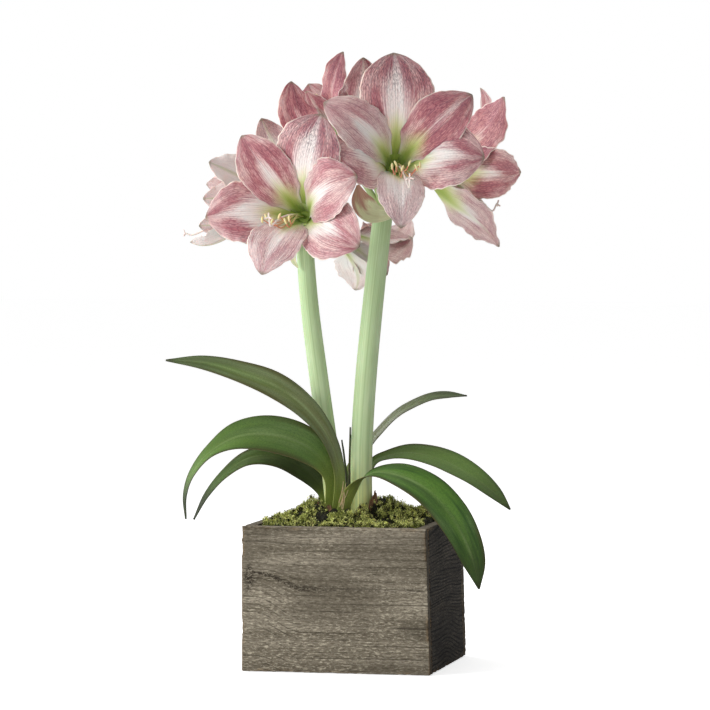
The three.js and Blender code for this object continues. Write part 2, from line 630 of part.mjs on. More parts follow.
function addBlooms(parent) {
  Object.entries(BLOOMS).forEach(([name, bloom]) => {
    const [rows, cols] = bloom.fine ? [8, 4] : [5, 4];
    const axes = bloomAxes(bloom);
    const plug = stalk(axisRun(axes, [[-TUBE.behind, TUBE.radius], [-TUBE.plug, TUBE.radius + 0.8]]), 12, 1);
    const tepals = bloom.tepals.map((tepal, order) => solidOf(tepalBlade(bloom, tepal, order, rows, cols)));
    addMesh(parent, `bloom_${name}`, geometryOf(joined([solidOf(plug), ...tepals])), COLORS.petal, 0.6);
  });
}

// Six filaments leave the throat in a ring round the longer style. The bundle sinks towards the
// lower side of the bloom, fans out, and curves up at its end. Each filament carries an anther.
function addStamens(parent) {
  Object.entries(BLOOMS).forEach(([name, bloom]) => {
    const axes = bloomAxes(bloom);
    const { sink, shift, spread, low, long, dip } = { ...STAMENS, ...bloom.stamens };
    const station = (ahead, drop, aside, radius) => {
      const point = onAxis(axes, ahead).addScaledVector(axes.up, -drop).addScaledVector(axes.right, aside);
      return [point.x, point.y, point.z, radius];
    };
    const foot = stalk(axisRun(axes, [[-TUBE.plug + GAP, 2.5], [-TUBE.plug + 4, 2.5]]), 7, 1);
    const solids = [solidOf(foot)];
    for (let number = 0; number < 6; number += 1) {
      const turn = THREE.MathUtils.degToRad(60 * number + 15);
      const aside = Math.cos(turn);
      const over = Math.sin(turn);
      const end = station(46, 17 * sink - 3 * over, 15 * spread * aside + shift, 0.6);
      solids.push(solidOf(stalk([
        station(-TUBE.plug + 3, -1.7 * over, 1.7 * aside, 0.55),
        station(8, 5 * sink - 2.4 * over, 2.8 * aside + 0.3 * shift, 0.75),
        station(28, 19 * sink - 3.6 * over, (3 + 6 * spread) * aside + 0.7 * shift, 0.75),
        end,
      ], 3, bloom.fine ? 5 : 3)));
      const anther = new THREE.OctahedronGeometry(1);
      anther.scale(1.2, 1.4, 3.4);
      anther.translate(end[0], end[1], end[2]);
      solids.push(solidOf(anther));
    }
    solids.push(solidOf(stalk([
      station(-TUBE.plug + 3, 0, 0, 0.8),
      station(0.25 * long, 0.25 * low, 0.4 * shift, 0.8),
      station(0.6 * long, 0.75 * low, 0.8 * shift, 0.8),
      station(0.88 * long, dip * low, shift, 0.8),
      station(long, low, shift, 1.6),
    ], 3, 5)));
    addMesh(parent, `stamens_${name}`, geometryOf(joined(solids)), COLORS.stamen, 0.6);
  });
}

// ---------------------------------------------------------------- the whole object

const group = new THREE.Group();
addBox(group);
addSoil(group);
addMoss(group);

const plant = new THREE.Group();
plant.rotation.z = PLANT_TURN;
addBulb(plant);
addLeaves(plant);
addScapes(plant);
addSpathes(plant);
addBlooms(plant);
addStamens(plant);
group.add(plant);

export default group;
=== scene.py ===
# %% [markdown]
# # Amaryllis in a wooden planter box
#
# A large amaryllis bulb stands in a square box of weathered boards. Two tall hollow stems each
# carry four pink and white trumpets, and long strap leaves arch out over the box. The measured
# frame holds every piece as a plain solid. This notebook lays finer pieces over the plant, the
# moss and the four walls, and gives each surface the look of what it is made of.

import math

import bpy
import numpy as np
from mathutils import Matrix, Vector


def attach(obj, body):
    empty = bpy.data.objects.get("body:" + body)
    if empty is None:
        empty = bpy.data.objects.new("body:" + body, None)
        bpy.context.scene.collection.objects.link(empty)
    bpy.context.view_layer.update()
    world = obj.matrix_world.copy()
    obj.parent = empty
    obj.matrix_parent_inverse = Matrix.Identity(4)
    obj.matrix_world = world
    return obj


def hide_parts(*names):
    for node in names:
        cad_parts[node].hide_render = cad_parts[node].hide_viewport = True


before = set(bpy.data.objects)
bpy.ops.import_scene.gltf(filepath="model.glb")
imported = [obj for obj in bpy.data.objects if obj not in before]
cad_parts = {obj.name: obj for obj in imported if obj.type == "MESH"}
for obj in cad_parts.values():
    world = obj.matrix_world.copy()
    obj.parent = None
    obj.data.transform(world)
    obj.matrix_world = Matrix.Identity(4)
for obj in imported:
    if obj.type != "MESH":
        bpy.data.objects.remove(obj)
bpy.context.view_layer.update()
print("pieces in the frame:", len(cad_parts))

# %% [markdown]
# ## Small helpers
#
# Sizes are written in millimetres, as on a drawing, and Blender works in metres, so one number
# turns the first into the second.

# %% Millimetres
MM = 0.001
print("one millimetre in Blender:", MM)

# %% [markdown]
# Colours are written as they look on a screen, in the sRGB standard. A shader wants linear light,
# so one function turns one into the other with the standard's own curve.

# %% Colours
def colour(hex_text):
    channels = [int(hex_text[i:i + 2], 16) / 255 for i in (0, 2, 4)]
    linear = [value / 12.92 if value <= 0.04045 else ((value + 0.055) / 1.055) ** 2.4 for value in channels]
    return (*linear, 1.0)


print("a mid grey in linear light:", round(colour("808080")[0], 3))

# %% [markdown]
# A finish is a net of shader nodes. They could be drawn by hand in the shader editor, but a script
# can say the same in words and is easier to read again. One function adds any node: plain values
# fill its open sockets in order, a name with a capital is a socket, and a small name is a setting.
# A kind in capitals is the operation of a Math node. Two kinds have a usual setting here: a Mix
# always blends colours, and a Map Range is always a soft step from one value to another. The three
# kinds that come most often have a short name.

# %% One function that adds a node
STEP, TIMES, MINUS = "MapRange", "MULTIPLY", "SUBTRACT"
USUAL = {"Mix": {"data_type": "RGBA"}, STEP: {"interpolation_type": "SMOOTHSTEP"}}


def join(tree, socket, value):
    """Links a socket to a node or to another socket, or sets it to a plain value."""
    if isinstance(value, bpy.types.Node):
        value = next(output for output in value.outputs if output.enabled)
    if isinstance(value, bpy.types.NodeSocket):
        tree.links.new(value, socket)
    else:
        socket.default_value = value


def put(tree, kind, *values, **named):
    if kind.isupper():
        kind, named = "Math", {"operation": kind}
    node = tree.nodes.new("ShaderNode" + kind)
    for name, value in (USUAL.get(kind, {}) | named).items():
        if name.islower():
            setattr(node, name, value)
        else:
            join(tree, node.inputs[name], value)
    for socket, value in zip([socket for socket in node.inputs if socket.enabled], values):
        join(tree, socket, value)
    return node


print("kinds of node with a usual setting:", *USUAL)

# %% [markdown]
# Every finish starts from Blender's all-round shader. What is the same all over a surface, such as
# its index of refraction, is set on that shader's own socket. What changes is linked to it. The
# shader itself starts at no metal and an index of 1.5, which suits dry plant matter, wood and
# pollen, so a finish only says where it differs.

# %% A new material, and its shader dressed
def new_material(name):
    material = bpy.data.materials.new(name)
    material.use_nodes = True
    tree = material.node_tree
    return material, tree, tree.nodes["Principled BSDF"]


def dress(material, tree, shader, sockets):
    for name, value in sockets.items():
        join(tree, shader.inputs[name], value)
    print(f"finish {material.name}: {len(tree.nodes)} nodes")


trial, tree, shader = new_material("trial")
print("sockets of the all-round shader:", len(shader.inputs))
bpy.data.materials.remove(trial)

# %% [markdown]
# Two kinds of number steer the finishes here, and the meshes carry both at every vertex. `place`
# says where on its piece a vertex is: across it, along it, and on which side. `tone` says how the
# piece differs from its neighbours, such as how pink one petal is.

# %% What a vertex knows
def place_and_tone(tree):
    """The three numbers of a vertex's place, then the four of its tone."""
    place = put(tree, "SeparateXYZ", put(tree, "Attribute", attribute_name="place").outputs["Vector"])
    told = put(tree, "Attribute", attribute_name="tone")
    tone = put(tree, "SeparateColor", told.outputs["Color"])
    return list(place.outputs), [*tone.outputs, told.outputs["Alpha"]]


print("attributes at each vertex: place, with 3 numbers, and tone, with 4")

# %% [markdown]
# Veins, fibres and stains are all noise, finer or coarser and stretched along the growth. How far
# it is stretched follows from real sizes: the size of the piece over the size of one feature, both
# in millimetres, gives how many features fit on it. One function makes all noises of a finish.

# %% Noise patterns from real sizes
METRE = (1000, 1000, 1000)  # for patterns laid over plain positions, which are in metres


def patterns(tree, where, size, recipes):
    """One noise for each recipe: a feature's size along the three axes, its detail and its warp."""
    made = []
    for feature, detail, warp in recipes:
        scale = [whole / part for whole, part in zip(size, feature)]
        stretched = put(tree, "Mapping", where, Scale=scale)
        made.append(put(tree, "TexNoise", stretched, 1.0, detail, Distortion=warp))
    return made


print("features of 4 mm to the metre:", METRE[0] / 4)

# %% [markdown]
# ## How a blade is built
#
# Leaves, petals and bracts are all blades: a thin sheet with a midrib, a width that changes along
# it, and a cross-section that is cupped, folded or waved. One could sculpt each by hand. Here each
# is worked out from a formula instead, which gives clean rows of faces and lets every vertex know
# where on the blade it is. The finishes use that place to draw veins, bands and edges, so no
# painted picture is needed. The numbers are the same ones that the solids were made from.

# %% Soft steps and unit vectors
def ease(low, high, value):
    share = np.clip((value - low) / (high - low), 0.0, 1.0)
    return share * share * (3.0 - 2.0 * share)


def unit(vectors):
    vectors = np.asarray(vectors, float)
    return vectors / np.maximum(np.linalg.norm(vectors, axis=-1, keepdims=True), 1e-9)


print("halfway up a soft step:", float(ease(0, 1, 0.5)))

# %% [markdown]
# A piece is gathered part by part, and becomes a mesh only when it is complete. Until then its
# points, faces, places and tones wait in a store. Most parts are grids: rows and columns of points
# with a face between each four.

# %% A store for the parts of a piece
class Store:
    """Collects points with their faces, their place on the piece and a tone."""

    def __init__(self):
        self.points, self.faces, self.places, self.tones, self.count = [], [], [], [], 0

    def add(self, points, faces, places, tone):
        points = np.asarray(points, float).reshape(-1, 3)
        self.points.append(points)
        self.faces.append(np.asarray(faces, int) + self.count)
        self.places.append(np.asarray(places, float).reshape(-1, 3))
        tone = np.pad(np.asarray(tone, float), (0, 4 - len(tone)))
        self.tones.append(np.tile(tone, (len(points), 1)))
        self.count += len(points)

    def grid(self, points, places, tone, flip=False, closed=False):
        rows, cols = points.shape[:2]
        number = np.arange(rows * cols).reshape(rows, cols)
        if closed:
            number = np.hstack([number, number[:, :1]])
        corners = [number[:-1, :-1], number[:-1, 1:], number[1:, 1:], number[1:, :-1]]
        if flip:
            corners = corners[:1] + corners[:0:-1]
        self.add(points, np.stack(corners, -1).reshape(-1, 4), places, tone)


trial = Store()
trial.grid(np.zeros((3, 5, 3)), np.zeros((3, 5, 3)), (0, 0, 0))
print("faces of a grid of three rows and five columns:", len(trial.faces[0]))

# %% [markdown]
# A sheet without thickness would be a poor petal: light and renderers need two faces. So a blade
# is a grid and a second one behind it, and a rim of faces joins them all round. A Solidify
# modifier could do the same, but then no vertex would know on which side it is.

# %% Both faces of a blade and its rim
def add_blade(store, middle, normal, thickness, places, tone):
    start = store.count
    rows, cols = middle.shape[:2]
    half = normal * (thickness / 2)[..., None]
    front = np.concatenate([places, np.ones((rows, cols, 1))], -1)
    back = np.concatenate([places, -np.ones((rows, cols, 1))], -1)
    store.grid(middle + half, front, tone)
    store.grid(middle - half, back, tone, flip=True)
    number = np.arange(rows * cols).reshape(rows, cols)
    rim = np.concatenate([number[0, :-1], number[:-1, -1], number[-1, :0:-1], number[:0:-1, 0]])
    after = np.roll(rim, -1)
    store.faces.append(np.stack([after, rim, rim + rows * cols, after + rows * cols], -1) + start)


flat = np.stack(np.meshgrid(np.arange(3.0), np.arange(3.0)) + [np.zeros((3, 3))], -1)
trial = Store()
add_blade(trial, flat, np.broadcast_to((0, 0, 1.0), flat.shape), np.ones((3, 3)), flat[..., :2], (0, 0, 0))
print("points of a blade of three rows and three columns:", trial.count)

# %% [markdown]
# When the parts are complete, the store becomes one mesh. It is scaled to metres, shaded smooth and
# given its finish. The plant was laid out in its own axes and stands turned in the box by a small
# angle, so all that grows on it is turned too. Then the piece is hung on the body it rides on, and
# the plain solid that it stands in for is hidden.

# %% A store becomes a piece of the frame
PLANT_TURN = math.radians(12.3)


def add_mesh(store, name, turned):
    points = np.concatenate(store.points) * MM
    if turned:
        cosine, sine = math.cos(PLANT_TURN), math.sin(PLANT_TURN)
        points = points @ np.array([[cosine, sine, 0], [-sine, cosine, 0], [0, 0, 1]])
    mesh = bpy.data.meshes.new(name)
    mesh.from_pydata(points.tolist(), [], [face for block in store.faces for face in block.tolist()])
    place = mesh.attributes.new("place", "FLOAT_VECTOR", "POINT")
    place.data.foreach_set("vector", np.concatenate(store.places).ravel())
    tone = mesh.attributes.new("tone", "FLOAT_COLOR", "POINT")
    tone.data.foreach_set("color", np.concatenate(store.tones).ravel())
    mesh.shade_smooth()
    return mesh


def finish_piece(store, name, material, node_name, turned=True):
    mesh = add_mesh(store, name, turned)
    mesh.materials.append(material)
    piece = bpy.data.objects.new(name, mesh)
    bpy.context.scene.collection.objects.link(piece)
    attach(piece, "root")
    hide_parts(node_name)
    print(f"{name}: {sum(face.loop_total - 2 for face in mesh.polygons)} triangles")


print("the plant stands turned by", round(math.degrees(PLANT_TURN), 1), "degrees")

# %% [markdown]
# ## How a stalk is built
#
# A stalk is a tube whose rings follow a run of stations. Each station is a point and a radius,
# and a smooth curve is drawn through them. The same curve serves the leaves, whose stations also
# say how wide the blade is and how far its face tilts towards the front.

# %% Curves through stations
def along(run, share):
    """The stations' numbers at shares of the run, on a smooth curve through them."""
    run = np.asarray(run, float)
    padded = np.vstack([2 * run[0] - run[1], run, 2 * run[-1] - run[-2]])
    place = np.clip(share, 0, 1) * (len(run) - 1)
    start = np.minimum(len(run) - 2, np.floor(place).astype(int))
    part = (place - start)[:, None]
    before, here, there, after = (padded[start + step] for step in range(4))
    return 0.5 * (2 * here + (there - before) * part + (2 * before - 5 * here + 4 * there - after) * part**2
                  + (3 * here - before - 3 * there + after) * part**3)


def heading_along(run, share, step=0.004):
    """Which way the run goes at each share, from a point a little further to one a little back."""
    ahead = along(run, np.minimum(1, share + step))
    return unit((ahead - along(run, np.maximum(0, share - step)))[:, :3])


print("halfway along a run from 0 to 10:", along([(0,), (10,)], np.array([0.5]))[0, 0])

# %% [markdown]
# The rings stand square to the curve. Each needs two directions of its own, one across the stalk
# and one over it, and both come from the way the curve is heading. Flat caps close the ends, except
# where a wider part hides them. A stem may also carry nine shallow ribs.

# %% Round stalks
RIBS = 9
FULL_TURN = 2 * math.pi


def add_cap(store, ring, middle, share, tone, flip):
    sides = len(ring)
    first = np.arange(sides)
    after = np.roll(first, -1)
    centre = np.full(sides, sides)
    order = (after, first, centre) if flip else (first, after, centre)
    places = np.tile((0, share, 1.0), (sides + 1, 1))
    store.add(np.vstack([ring, middle[None]]), np.stack(order, -1), places, tone)


def stalk(store, run, sides, rows, tone, level_foot=False, closed_ends=True, ridges=0.0, marked=1.0):
    """A tube along the run. The finish reads shares of the run times `marked` as its place."""
    share = np.linspace(0, 1, rows + 1)
    stations, heading = along(run, share), heading_along(run, share)
    if level_foot:
        heading[0] = (0, 0, 1)
    across = unit(np.cross((0, 1, 0.01), heading))
    over = np.cross(heading, across)
    turn = np.arange(sides) * FULL_TURN / sides
    radius = stations[:, 3:4] * (1 - ridges * (0.5 + 0.5 * np.cos(RIBS * turn))[None, :])
    rings = (stations[:, None, :3] + across[:, None, :] * (radius * np.cos(turn))[..., None]
             + over[:, None, :] * (radius * np.sin(turn))[..., None])
    share = share * marked
    places = np.stack(np.broadcast_arrays(turn[None, :] / math.pi - 1, share[:, None], 1.0), -1)
    store.grid(rings, places, tone, closed=True)
    if closed_ends:
        for row, flip in ((0, True), (rows, False)):
            add_cap(store, rings[row], stations[row, :3], share[row], tone, flip)


trial = Store()
stalk(trial, [(0, 0, 0, 1), (0, 0, 9, 1)], 8, 3, (0, 0, 0))
print("points of a short tube with two caps:", trial.count)

# %% [markdown]
# ## Petals
#
# An amaryllis flower has six tepals in two whorls of three. Each leaves the tube wrapped round the
# flower's axis, flattens as it flares and curls back at its tip. An `angle` counts from the right
# as one looks into the flower and 90 is up. The tip lies `reach` out and `ahead` of the throat, and
# `half` is half the width, widest at the share `belly` of the length. `flare` and `tip` are the
# angles to the axis at the foot and at the tip, `arch` is how full the bow between them is, and
# `bend`, `twist` and `fold` are what a bent, turned or folded petal has. `white` is how wide the
# white band is, `pink` how strong the colour is and `dusk` how dusky the far part. Every bloom grows
# from a green tube that reaches some way behind its throat, and a plug closes it.

# %% The eight blooms
TUBE = {"behind": 26, "plug": 15, "radius": 6.9, "outer": 6.3, "inner": 4.1}
BLOOMS = {
    "front_left": dict(umbel="left", throat=(-58, -72, 476), faces=(-0.30, -0.92, 0.24), fine=2,
        stamens=dict(shift=-10, sink=0.98), tepals=[
            dict(angle=72, reach=99, ahead=46, half=37, belly=0.66, white=0.52, pink=1.0, dusk=1.35),
            dict(angle=127, reach=88, ahead=46, half=27, inner=True, white=0.15, pink=1.0, dusk=0.2),
            dict(angle=190, reach=88, ahead=46, half=34, white=0.7, pink=0.85, dusk=0.15),
            dict(angle=256, reach=78, ahead=46, half=29, inner=True, white=0.4, pink=0.55, dusk=0.5),
            dict(angle=-29, reach=95, ahead=46, half=33, belly=0.66, white=0.6, pink=0.85, dusk=0.15),
            dict(angle=19, reach=81, ahead=50, half=32, belly=0.68, inner=True, white=0.35, pink=0.85)]),
    "front_right": dict(umbel="right", throat=(42, -66, 528), faces=(0.12, -0.92, 0.36), fine=2,
        stamens=dict(shift=3, sink=1.2, low=42, dip=1.18), tepals=[
            dict(angle=92, reach=105, ahead=46, half=39, belly=0.68, white=0.45, pink=1.0, dusk=1.2),
            dict(angle=149, reach=92, ahead=46, half=27, inner=True, white=0.3, pink=0.62),
            dict(angle=37, reach=94, ahead=46, half=29, inner=True, white=-0.2, pink=1.2, dusk=0.55),
            dict(angle=-8, reach=86, ahead=46, half=38, white=0.5, pink=0.88, dusk=0.5),
            dict(angle=-94, reach=90, ahead=46, half=25, inner=True, white=0.8, pink=0.4, dusk=0.7),
            dict(angle=180, reach=72, ahead=40, half=40, white=0.7, pink=0.8)]),
    "left": dict(umbel="left", throat=(-112, -6, 484), faces=(-0.95, 0.08, -0.05), fine=1,
        stamens=dict(sink=0.8, long=69, low=26, dip=1.05, spread=0.5), tepals=[
            dict(angle=50, reach=62, ahead=36, half=30, tip=40, flare=60, white=1.0, pink=0.07),
            dict(angle=12, reach=50, ahead=43, half=19, tip=10, flare=60, inner=True, white=1.0,
                 pink=0.15),
            dict(angle=-38, reach=30, ahead=52, half=22, tip=10, flare=55, white=1.0, pink=0.2),
            dict(angle=-85, reach=38, ahead=66, half=22, tip=-25, flare=30, fold=0.6, arch=1, inner=True,
                 white=1.0, pink=0.05, dusk=0.2),
            dict(angle=135, reach=38, ahead=46, half=24, tip=30, flare=60, inner=True, white=0.8,
                 pink=0.4),
            dict(angle=195, reach=38, ahead=46, half=24, tip=30, flare=60, white=0.8, pink=0.4)]),
    "right_low": dict(umbel="left", throat=(-6, 42, 444), faces=(0.62, 0.62, -0.48), fine=1,
        stamens=dict(sink=0.1, spread=0.4, low=4, long=54), tepals=[
            dict(angle=126, reach=48, ahead=46, half=44, tip=75, belly=0.5, bend=12, white=0.6, pink=0.6),
            dict(angle=96, reach=64, ahead=58, half=36, tip=75, belly=0.55, inner=True, white=0.5,
                 pink=0.5),
            dict(angle=212, reach=26, ahead=44, half=22, tip=70, inner=True, white=0.8, pink=0.4),
            dict(angle=-85, reach=39, ahead=34, half=37, tip=100, belly=0.5, white=1.0, pink=0.15),
            dict(angle=-35, reach=36, ahead=40, half=22, inner=True, white=0.7, pink=0.5),
            dict(angle=30, reach=50, ahead=36, half=26, white=0.7, pink=0.5)]),
    "right": dict(umbel="right", throat=(97, 28, 518), faces=(0.93, 0.36, 0.03), fine=1,
        stamens=dict(sink=0.8, shift=-9, spread=0.7, low=34, dip=1.2, long=52), tepals=[
            dict(angle=62, reach=102, ahead=58, half=18, tip=100, inner=True, white=0.1, pink=1.0),
            dict(angle=122, reach=93, ahead=47, half=36, tip=90, flare=30, belly=0.5, white=-0.2,
                 pink=1.5),
            dict(angle=180, reach=108, ahead=35, half=28, tip=95, belly=0.44, inner=True, white=0.05,
                 pink=1.05),
            dict(angle=246, reach=85, ahead=44, half=35, tip=70, flare=55, belly=0.45, bend=3,
                 white=0.35, pink=0.65),
            dict(angle=-60, reach=60, ahead=45, half=25, inner=True, white=0.3, pink=0.8),
            dict(angle=0, reach=80, ahead=45, half=27, white=0.3, pink=0.8)]),
    "back_right": dict(umbel="right", throat=(11, 76, 554), faces=(-0.05, 0.90, 0.42), fine=1,
        stamens=dict(sink=0.75, low=15), tepals=[
            dict(angle=88, reach=77, ahead=45, half=26, tip=95, belly=0.5, white=0.3, pink=0.9, dusk=1.0),
            dict(angle=48, reach=53, ahead=48, half=22, inner=True, white=0.3, pink=0.8),
            dict(angle=150, reach=60, ahead=48, half=24, inner=True, white=0.5, pink=0.8),
            dict(angle=-25, reach=58, ahead=42, half=24, white=0.5, pink=0.8),
            dict(angle=-85, reach=66, ahead=46, half=24, inner=True, white=0.5, pink=0.7),
            dict(angle=207, reach=72, ahead=42, half=27, white=0.5, pink=0.8)]),
    "up_left": dict(umbel="right", throat=(-20, 34, 564), faces=(-0.42, 0.20, 0.88), fine=1,
        stamens=dict(sink=0.6, spread=0.4, low=12, long=46), tepals=[
            dict(angle=100, reach=43, ahead=72, half=21, tip=55, flare=-20, belly=0.4, twist=78,
                 white=-0.4, pink=1.5, dusk=0.8),
            dict(angle=0, reach=33, ahead=46, half=14, tip=10, inner=True, white=0.2, pink=1.0),
            dict(angle=-25, reach=29, ahead=65, half=21, tip=-25, flare=62, twist=75, arch=1.25,
                 white=-0.1, pink=1.3),
            dict(angle=160, reach=34, ahead=56, half=20, tip=20, inner=True, white=0.2, pink=1.0),
            dict(angle=215, reach=30, ahead=66, half=24, tip=20, white=0.2, pink=1.0),
            dict(angle=265, reach=30, ahead=56, half=20, tip=20, inner=True, white=0.2, pink=1.0)]),
    "back_left": dict(umbel="left", throat=(-64, 72, 509), faces=(-0.25, 0.93, 0.25), fine=1,
        stamens=dict(sink=0.5, spread=0.8, low=12), tepals=[
            dict(angle=62, reach=66, ahead=44, half=24, tip=100, belly=0.5, inner=True, white=0.6,
                 pink=0.5, dusk=0.7),
            dict(angle=5, reach=54, ahead=42, half=24, white=0.5, pink=0.6),
            dict(angle=118, reach=56, ahead=42, half=24, white=0.6, pink=0.6),
            dict(angle=168, reach=46, ahead=46, half=22, inner=True, white=0.6, pink=0.6),
            dict(angle=228, reach=68, ahead=42, half=26, white=0.6, pink=0.6),
            dict(angle=-73, reach=58, ahead=46, half=24, inner=True, white=0.5, pink=0.6)]),
}
print("blooms:", len(BLOOMS), "tepals:", sum(len(b["tepals"]) for b in BLOOMS.values()))

# %% [markdown]
# ### The midrib of a tepal
#
# A bloom has an axis that it faces along, an up and a right. A midrib lies in one plane with the
# axis, and one Bezier curve draws it there: its two ends and the two angles at them say it all. A
# spline drawn by hand would need far more points for the same bow. The two pulls say how far the
# curve holds on to each end's direction, as a share of the distance between the ends.

# %% A bloom's axes and the curve of a midrib
PULL_AT_FOOT, PULL_AT_TIP = 0.42, 0.36


def bloom_axes(bloom):
    faces = unit(bloom["faces"])
    up = unit(np.array((0, 0, 1.0)) - faces * faces[2])
    return np.asarray(bloom["throat"], float), faces, up, np.cross(up, faces)


def midrib(tepal, share):
    """Points and slopes at the shares, as distances out from the axis and ahead along it."""
    inner = tepal.get("inner", False)
    foot = np.array((TUBE["inner"] if inner else TUBE["outer"], 2 - TUBE["behind"]))
    tip = np.array((tepal["reach"], tepal["ahead"]), float)
    pull = tepal.get("arch", 1) * np.linalg.norm(tip - foot)
    leaving, arriving = math.radians(tepal.get("flare", 12)), math.radians(tepal.get("tip", 105))
    low = foot + PULL_AT_FOOT * pull * np.array((math.sin(leaving), math.cos(leaving)))
    high = tip - PULL_AT_TIP * pull * np.array((math.sin(arriving), math.cos(arriving)))
    rest = 1 - share
    points = rest**3 * foot + 3 * rest**2 * share * low + 3 * rest * share**2 * high + share**3 * tip
    slopes = rest**2 * (low - foot) + 2 * rest * share * (high - low) + share**2 * (tip - high)
    return points, unit(slopes)


print("the first bloom faces along", bloom_axes(BLOOMS["front_left"])[1].round(2))

# %% [markdown]
# The curve is then set into space, in the direction that the tepal has round its flower. A petal
# that is twisted turns about its own midrib, from the foot to the tip.

# %% The midrib in space, and the blade's own directions
def spine(bloom, tepal, share):
    """The points, their distance from the axis, the way across and the way out of the face."""
    throat, faces, up, right = bloom_axes(bloom)
    turn = math.radians(tepal["angle"])
    outward = right * math.cos(turn) + up * math.sin(turn)
    sideways = np.cross(faces, outward)
    points, slopes = midrib(tepal, share)
    from_axis, ahead = points[:, :1], points[:, 1:]
    middle = throat + outward * from_axis + faces * ahead + sideways * tepal.get("bend", 0) * share**2
    face = np.cross(unit(outward * slopes[:, :1] + faces * slopes[:, 1:]), sideways)
    rolled = math.radians(tepal.get("twist", 0)) * ease(0.1, 0.9, share)
    across = sideways * np.cos(rolled) + face * np.sin(rolled)
    return middle, from_axis, across, face * np.cos(rolled) - sideways * np.sin(rolled)


first_bloom = BLOOMS["front_left"]
first_tepal = first_bloom["tepals"][0]
tips = spine(first_bloom, first_tepal, np.linspace(0, 1, 3)[:, None])[0]
print("its top petal reaches up to", tips[-1, 2].round(1), "mm")

# %% [markdown]
# ### The section of a tepal
#
# At the foot a tepal is a strip of the flower's tube, so its section is an arc round the axis.
# Further out the arc opens until the blade is flat. The outline swells to the belly and closes to
# a point. Near the foot there is no room for a wide blade, so its width is held to a share of its
# distance from the axis, and that share grows as the flower opens.

# %% The outline and the section
FOOT_WIDTH, NARROWEST = 0.2, 0.03
WIDEST_ARC = 2.4  # in radians, to each side
FLAT = 1e-5


def tepal_width(share, belly):
    rising = np.sin(math.pi / 2 * np.minimum(share / belly, 1)) ** 1.5
    rising = FOOT_WIDTH + (1 - FOOT_WIDTH) * rising
    past_belly = np.clip((share - belly) / (1 - belly), 0, 1)
    falling = np.maximum(0, np.cos(math.pi / 2 * past_belly)) ** 0.7
    return np.where(share < belly, rising, np.maximum(NARROWEST, falling))


def section(tepal, share, beside, from_axis):
    """How far each point lies out to the side of the midrib, and how far above it."""
    room = from_axis * (0.72 + 1.6 * ease(0.25, 0.6, share))
    width = np.minimum(tepal["half"] * tepal_width(share, tepal.get("belly", 0.62)), room)
    curve = 0.9 / np.maximum(from_axis, 4) * (1 - ease(0.05, 0.5, share))
    arc = np.clip(beside * width * curve, -WIDEST_ARC, WIDEST_ARC)
    safe = np.where(curve < FLAT, 1, curve)
    out = np.where(curve < FLAT, beside * width, np.sin(arc) / safe)
    return out, np.where(curve < FLAT, 0, (1 - np.cos(arc)) / safe)


print("share of the full width at the foot and the belly:", tepal_width(np.array([0, 0.62]), 0.62))

# %% [markdown]
# A living petal is never plain. A slow wave of about two swells runs along each half, a fine frill
# sits on the edge, a crease follows the midrib and low ribs follow the veins. Each is one sine or
# bell curve that fades in after the foot and out before the tip. Noise could do it too, but sines
# are smooth, always the same, and differ from petal to petal by its order in the flower.

# %% Waves, frill, crease and ribs
SWELLS, FRILLS = 2.2, 7.3  # waves along each half of a petal
CREASE = {"deep": 0.9, "wide": 0.16}
RIB = {"high": 0.11, "across": 8}


def waves(order, share, beside):
    swell = np.sin(FULL_TURN * SWELLS * share + 1.7 * order + np.where(beside > 0, 1.9, 0))
    height = (0.5 + 2.4 * share) * ease(0.25, 0.6, share) * (1 - ease(0.9, 1, share))
    return height * swell * np.abs(beside) ** 2.2


def frill(order, share, beside):
    phase = 2.3 * order + np.where(beside > 0, 0.7, 0)
    fine = np.sin(FULL_TURN * (FRILLS + order % 3) * share + phase)
    return fine * np.abs(beside) ** 5 * ease(0.3, 0.6, share) * (1 - ease(0.92, 1, share))


def crease_and_ribs(share, beside):
    crease = CREASE["deep"] * np.exp(-(beside / CREASE["wide"]) ** 2) * (1 - ease(0.85, 1, share))
    ribs = RIB["high"] * np.cos(FULL_TURN * RIB["across"] * beside) * (1 - beside**6)
    return (ribs * (1 - ease(0.8, 1, share)) - crease) * ease(0.1, 0.3, share)


middle_height = crease_and_ribs(np.array(0.5), np.array(0.0))
print("the midrib lies", -round(float(middle_height), 2), "mm deep halfway along")

# %% [markdown]
# The margin is a little uneven, as a living edge is. Three waves of different lengths move it out
# and in by a few hundredths of the width, and the inside of the petal keeps its place.

# %% The uneven margin
MARGIN = 0.018
MARGIN_WAVES = [(23, 3, 1, 1), (53, 5, 2, 0.6), (97, 7, 3, 0.4)]  # how quick, two phases, how strong


def uneven_edge(order, share, beside):
    """The share by which the margin lies further out or in."""
    total = sum(strong * np.sin(quick * share + phase * order + half * np.sign(beside))
                for quick, phase, half, strong in MARGIN_WAVES)
    return MARGIN * total * np.abs(beside) ** 4


print("the margin moves by at most", round(MARGIN * sum(wave[3] for wave in MARGIN_WAVES), 3), "of the width")

# %% [markdown]
# ### A whole tepal
#
# Now the parts come together. The inner three tepals lie a little above the outer three, and a
# petal is thicker in the middle than at the edge. Its tone carries the colours from the table and a
# number of its own, so that no two petals show the same streaks.

# %% One tepal
INNER_LIES_ABOVE = 3
PETAL_EDGE, PETAL_MIDDLE = 0.35, 0.8  # thickness


def tepal_tone(bloom, tepal, order):
    own = (order * 0.37 + bloom["throat"][0] * 0.01) % 1
    return tepal["white"], tepal["pink"], tepal.get("dusk", 0), own


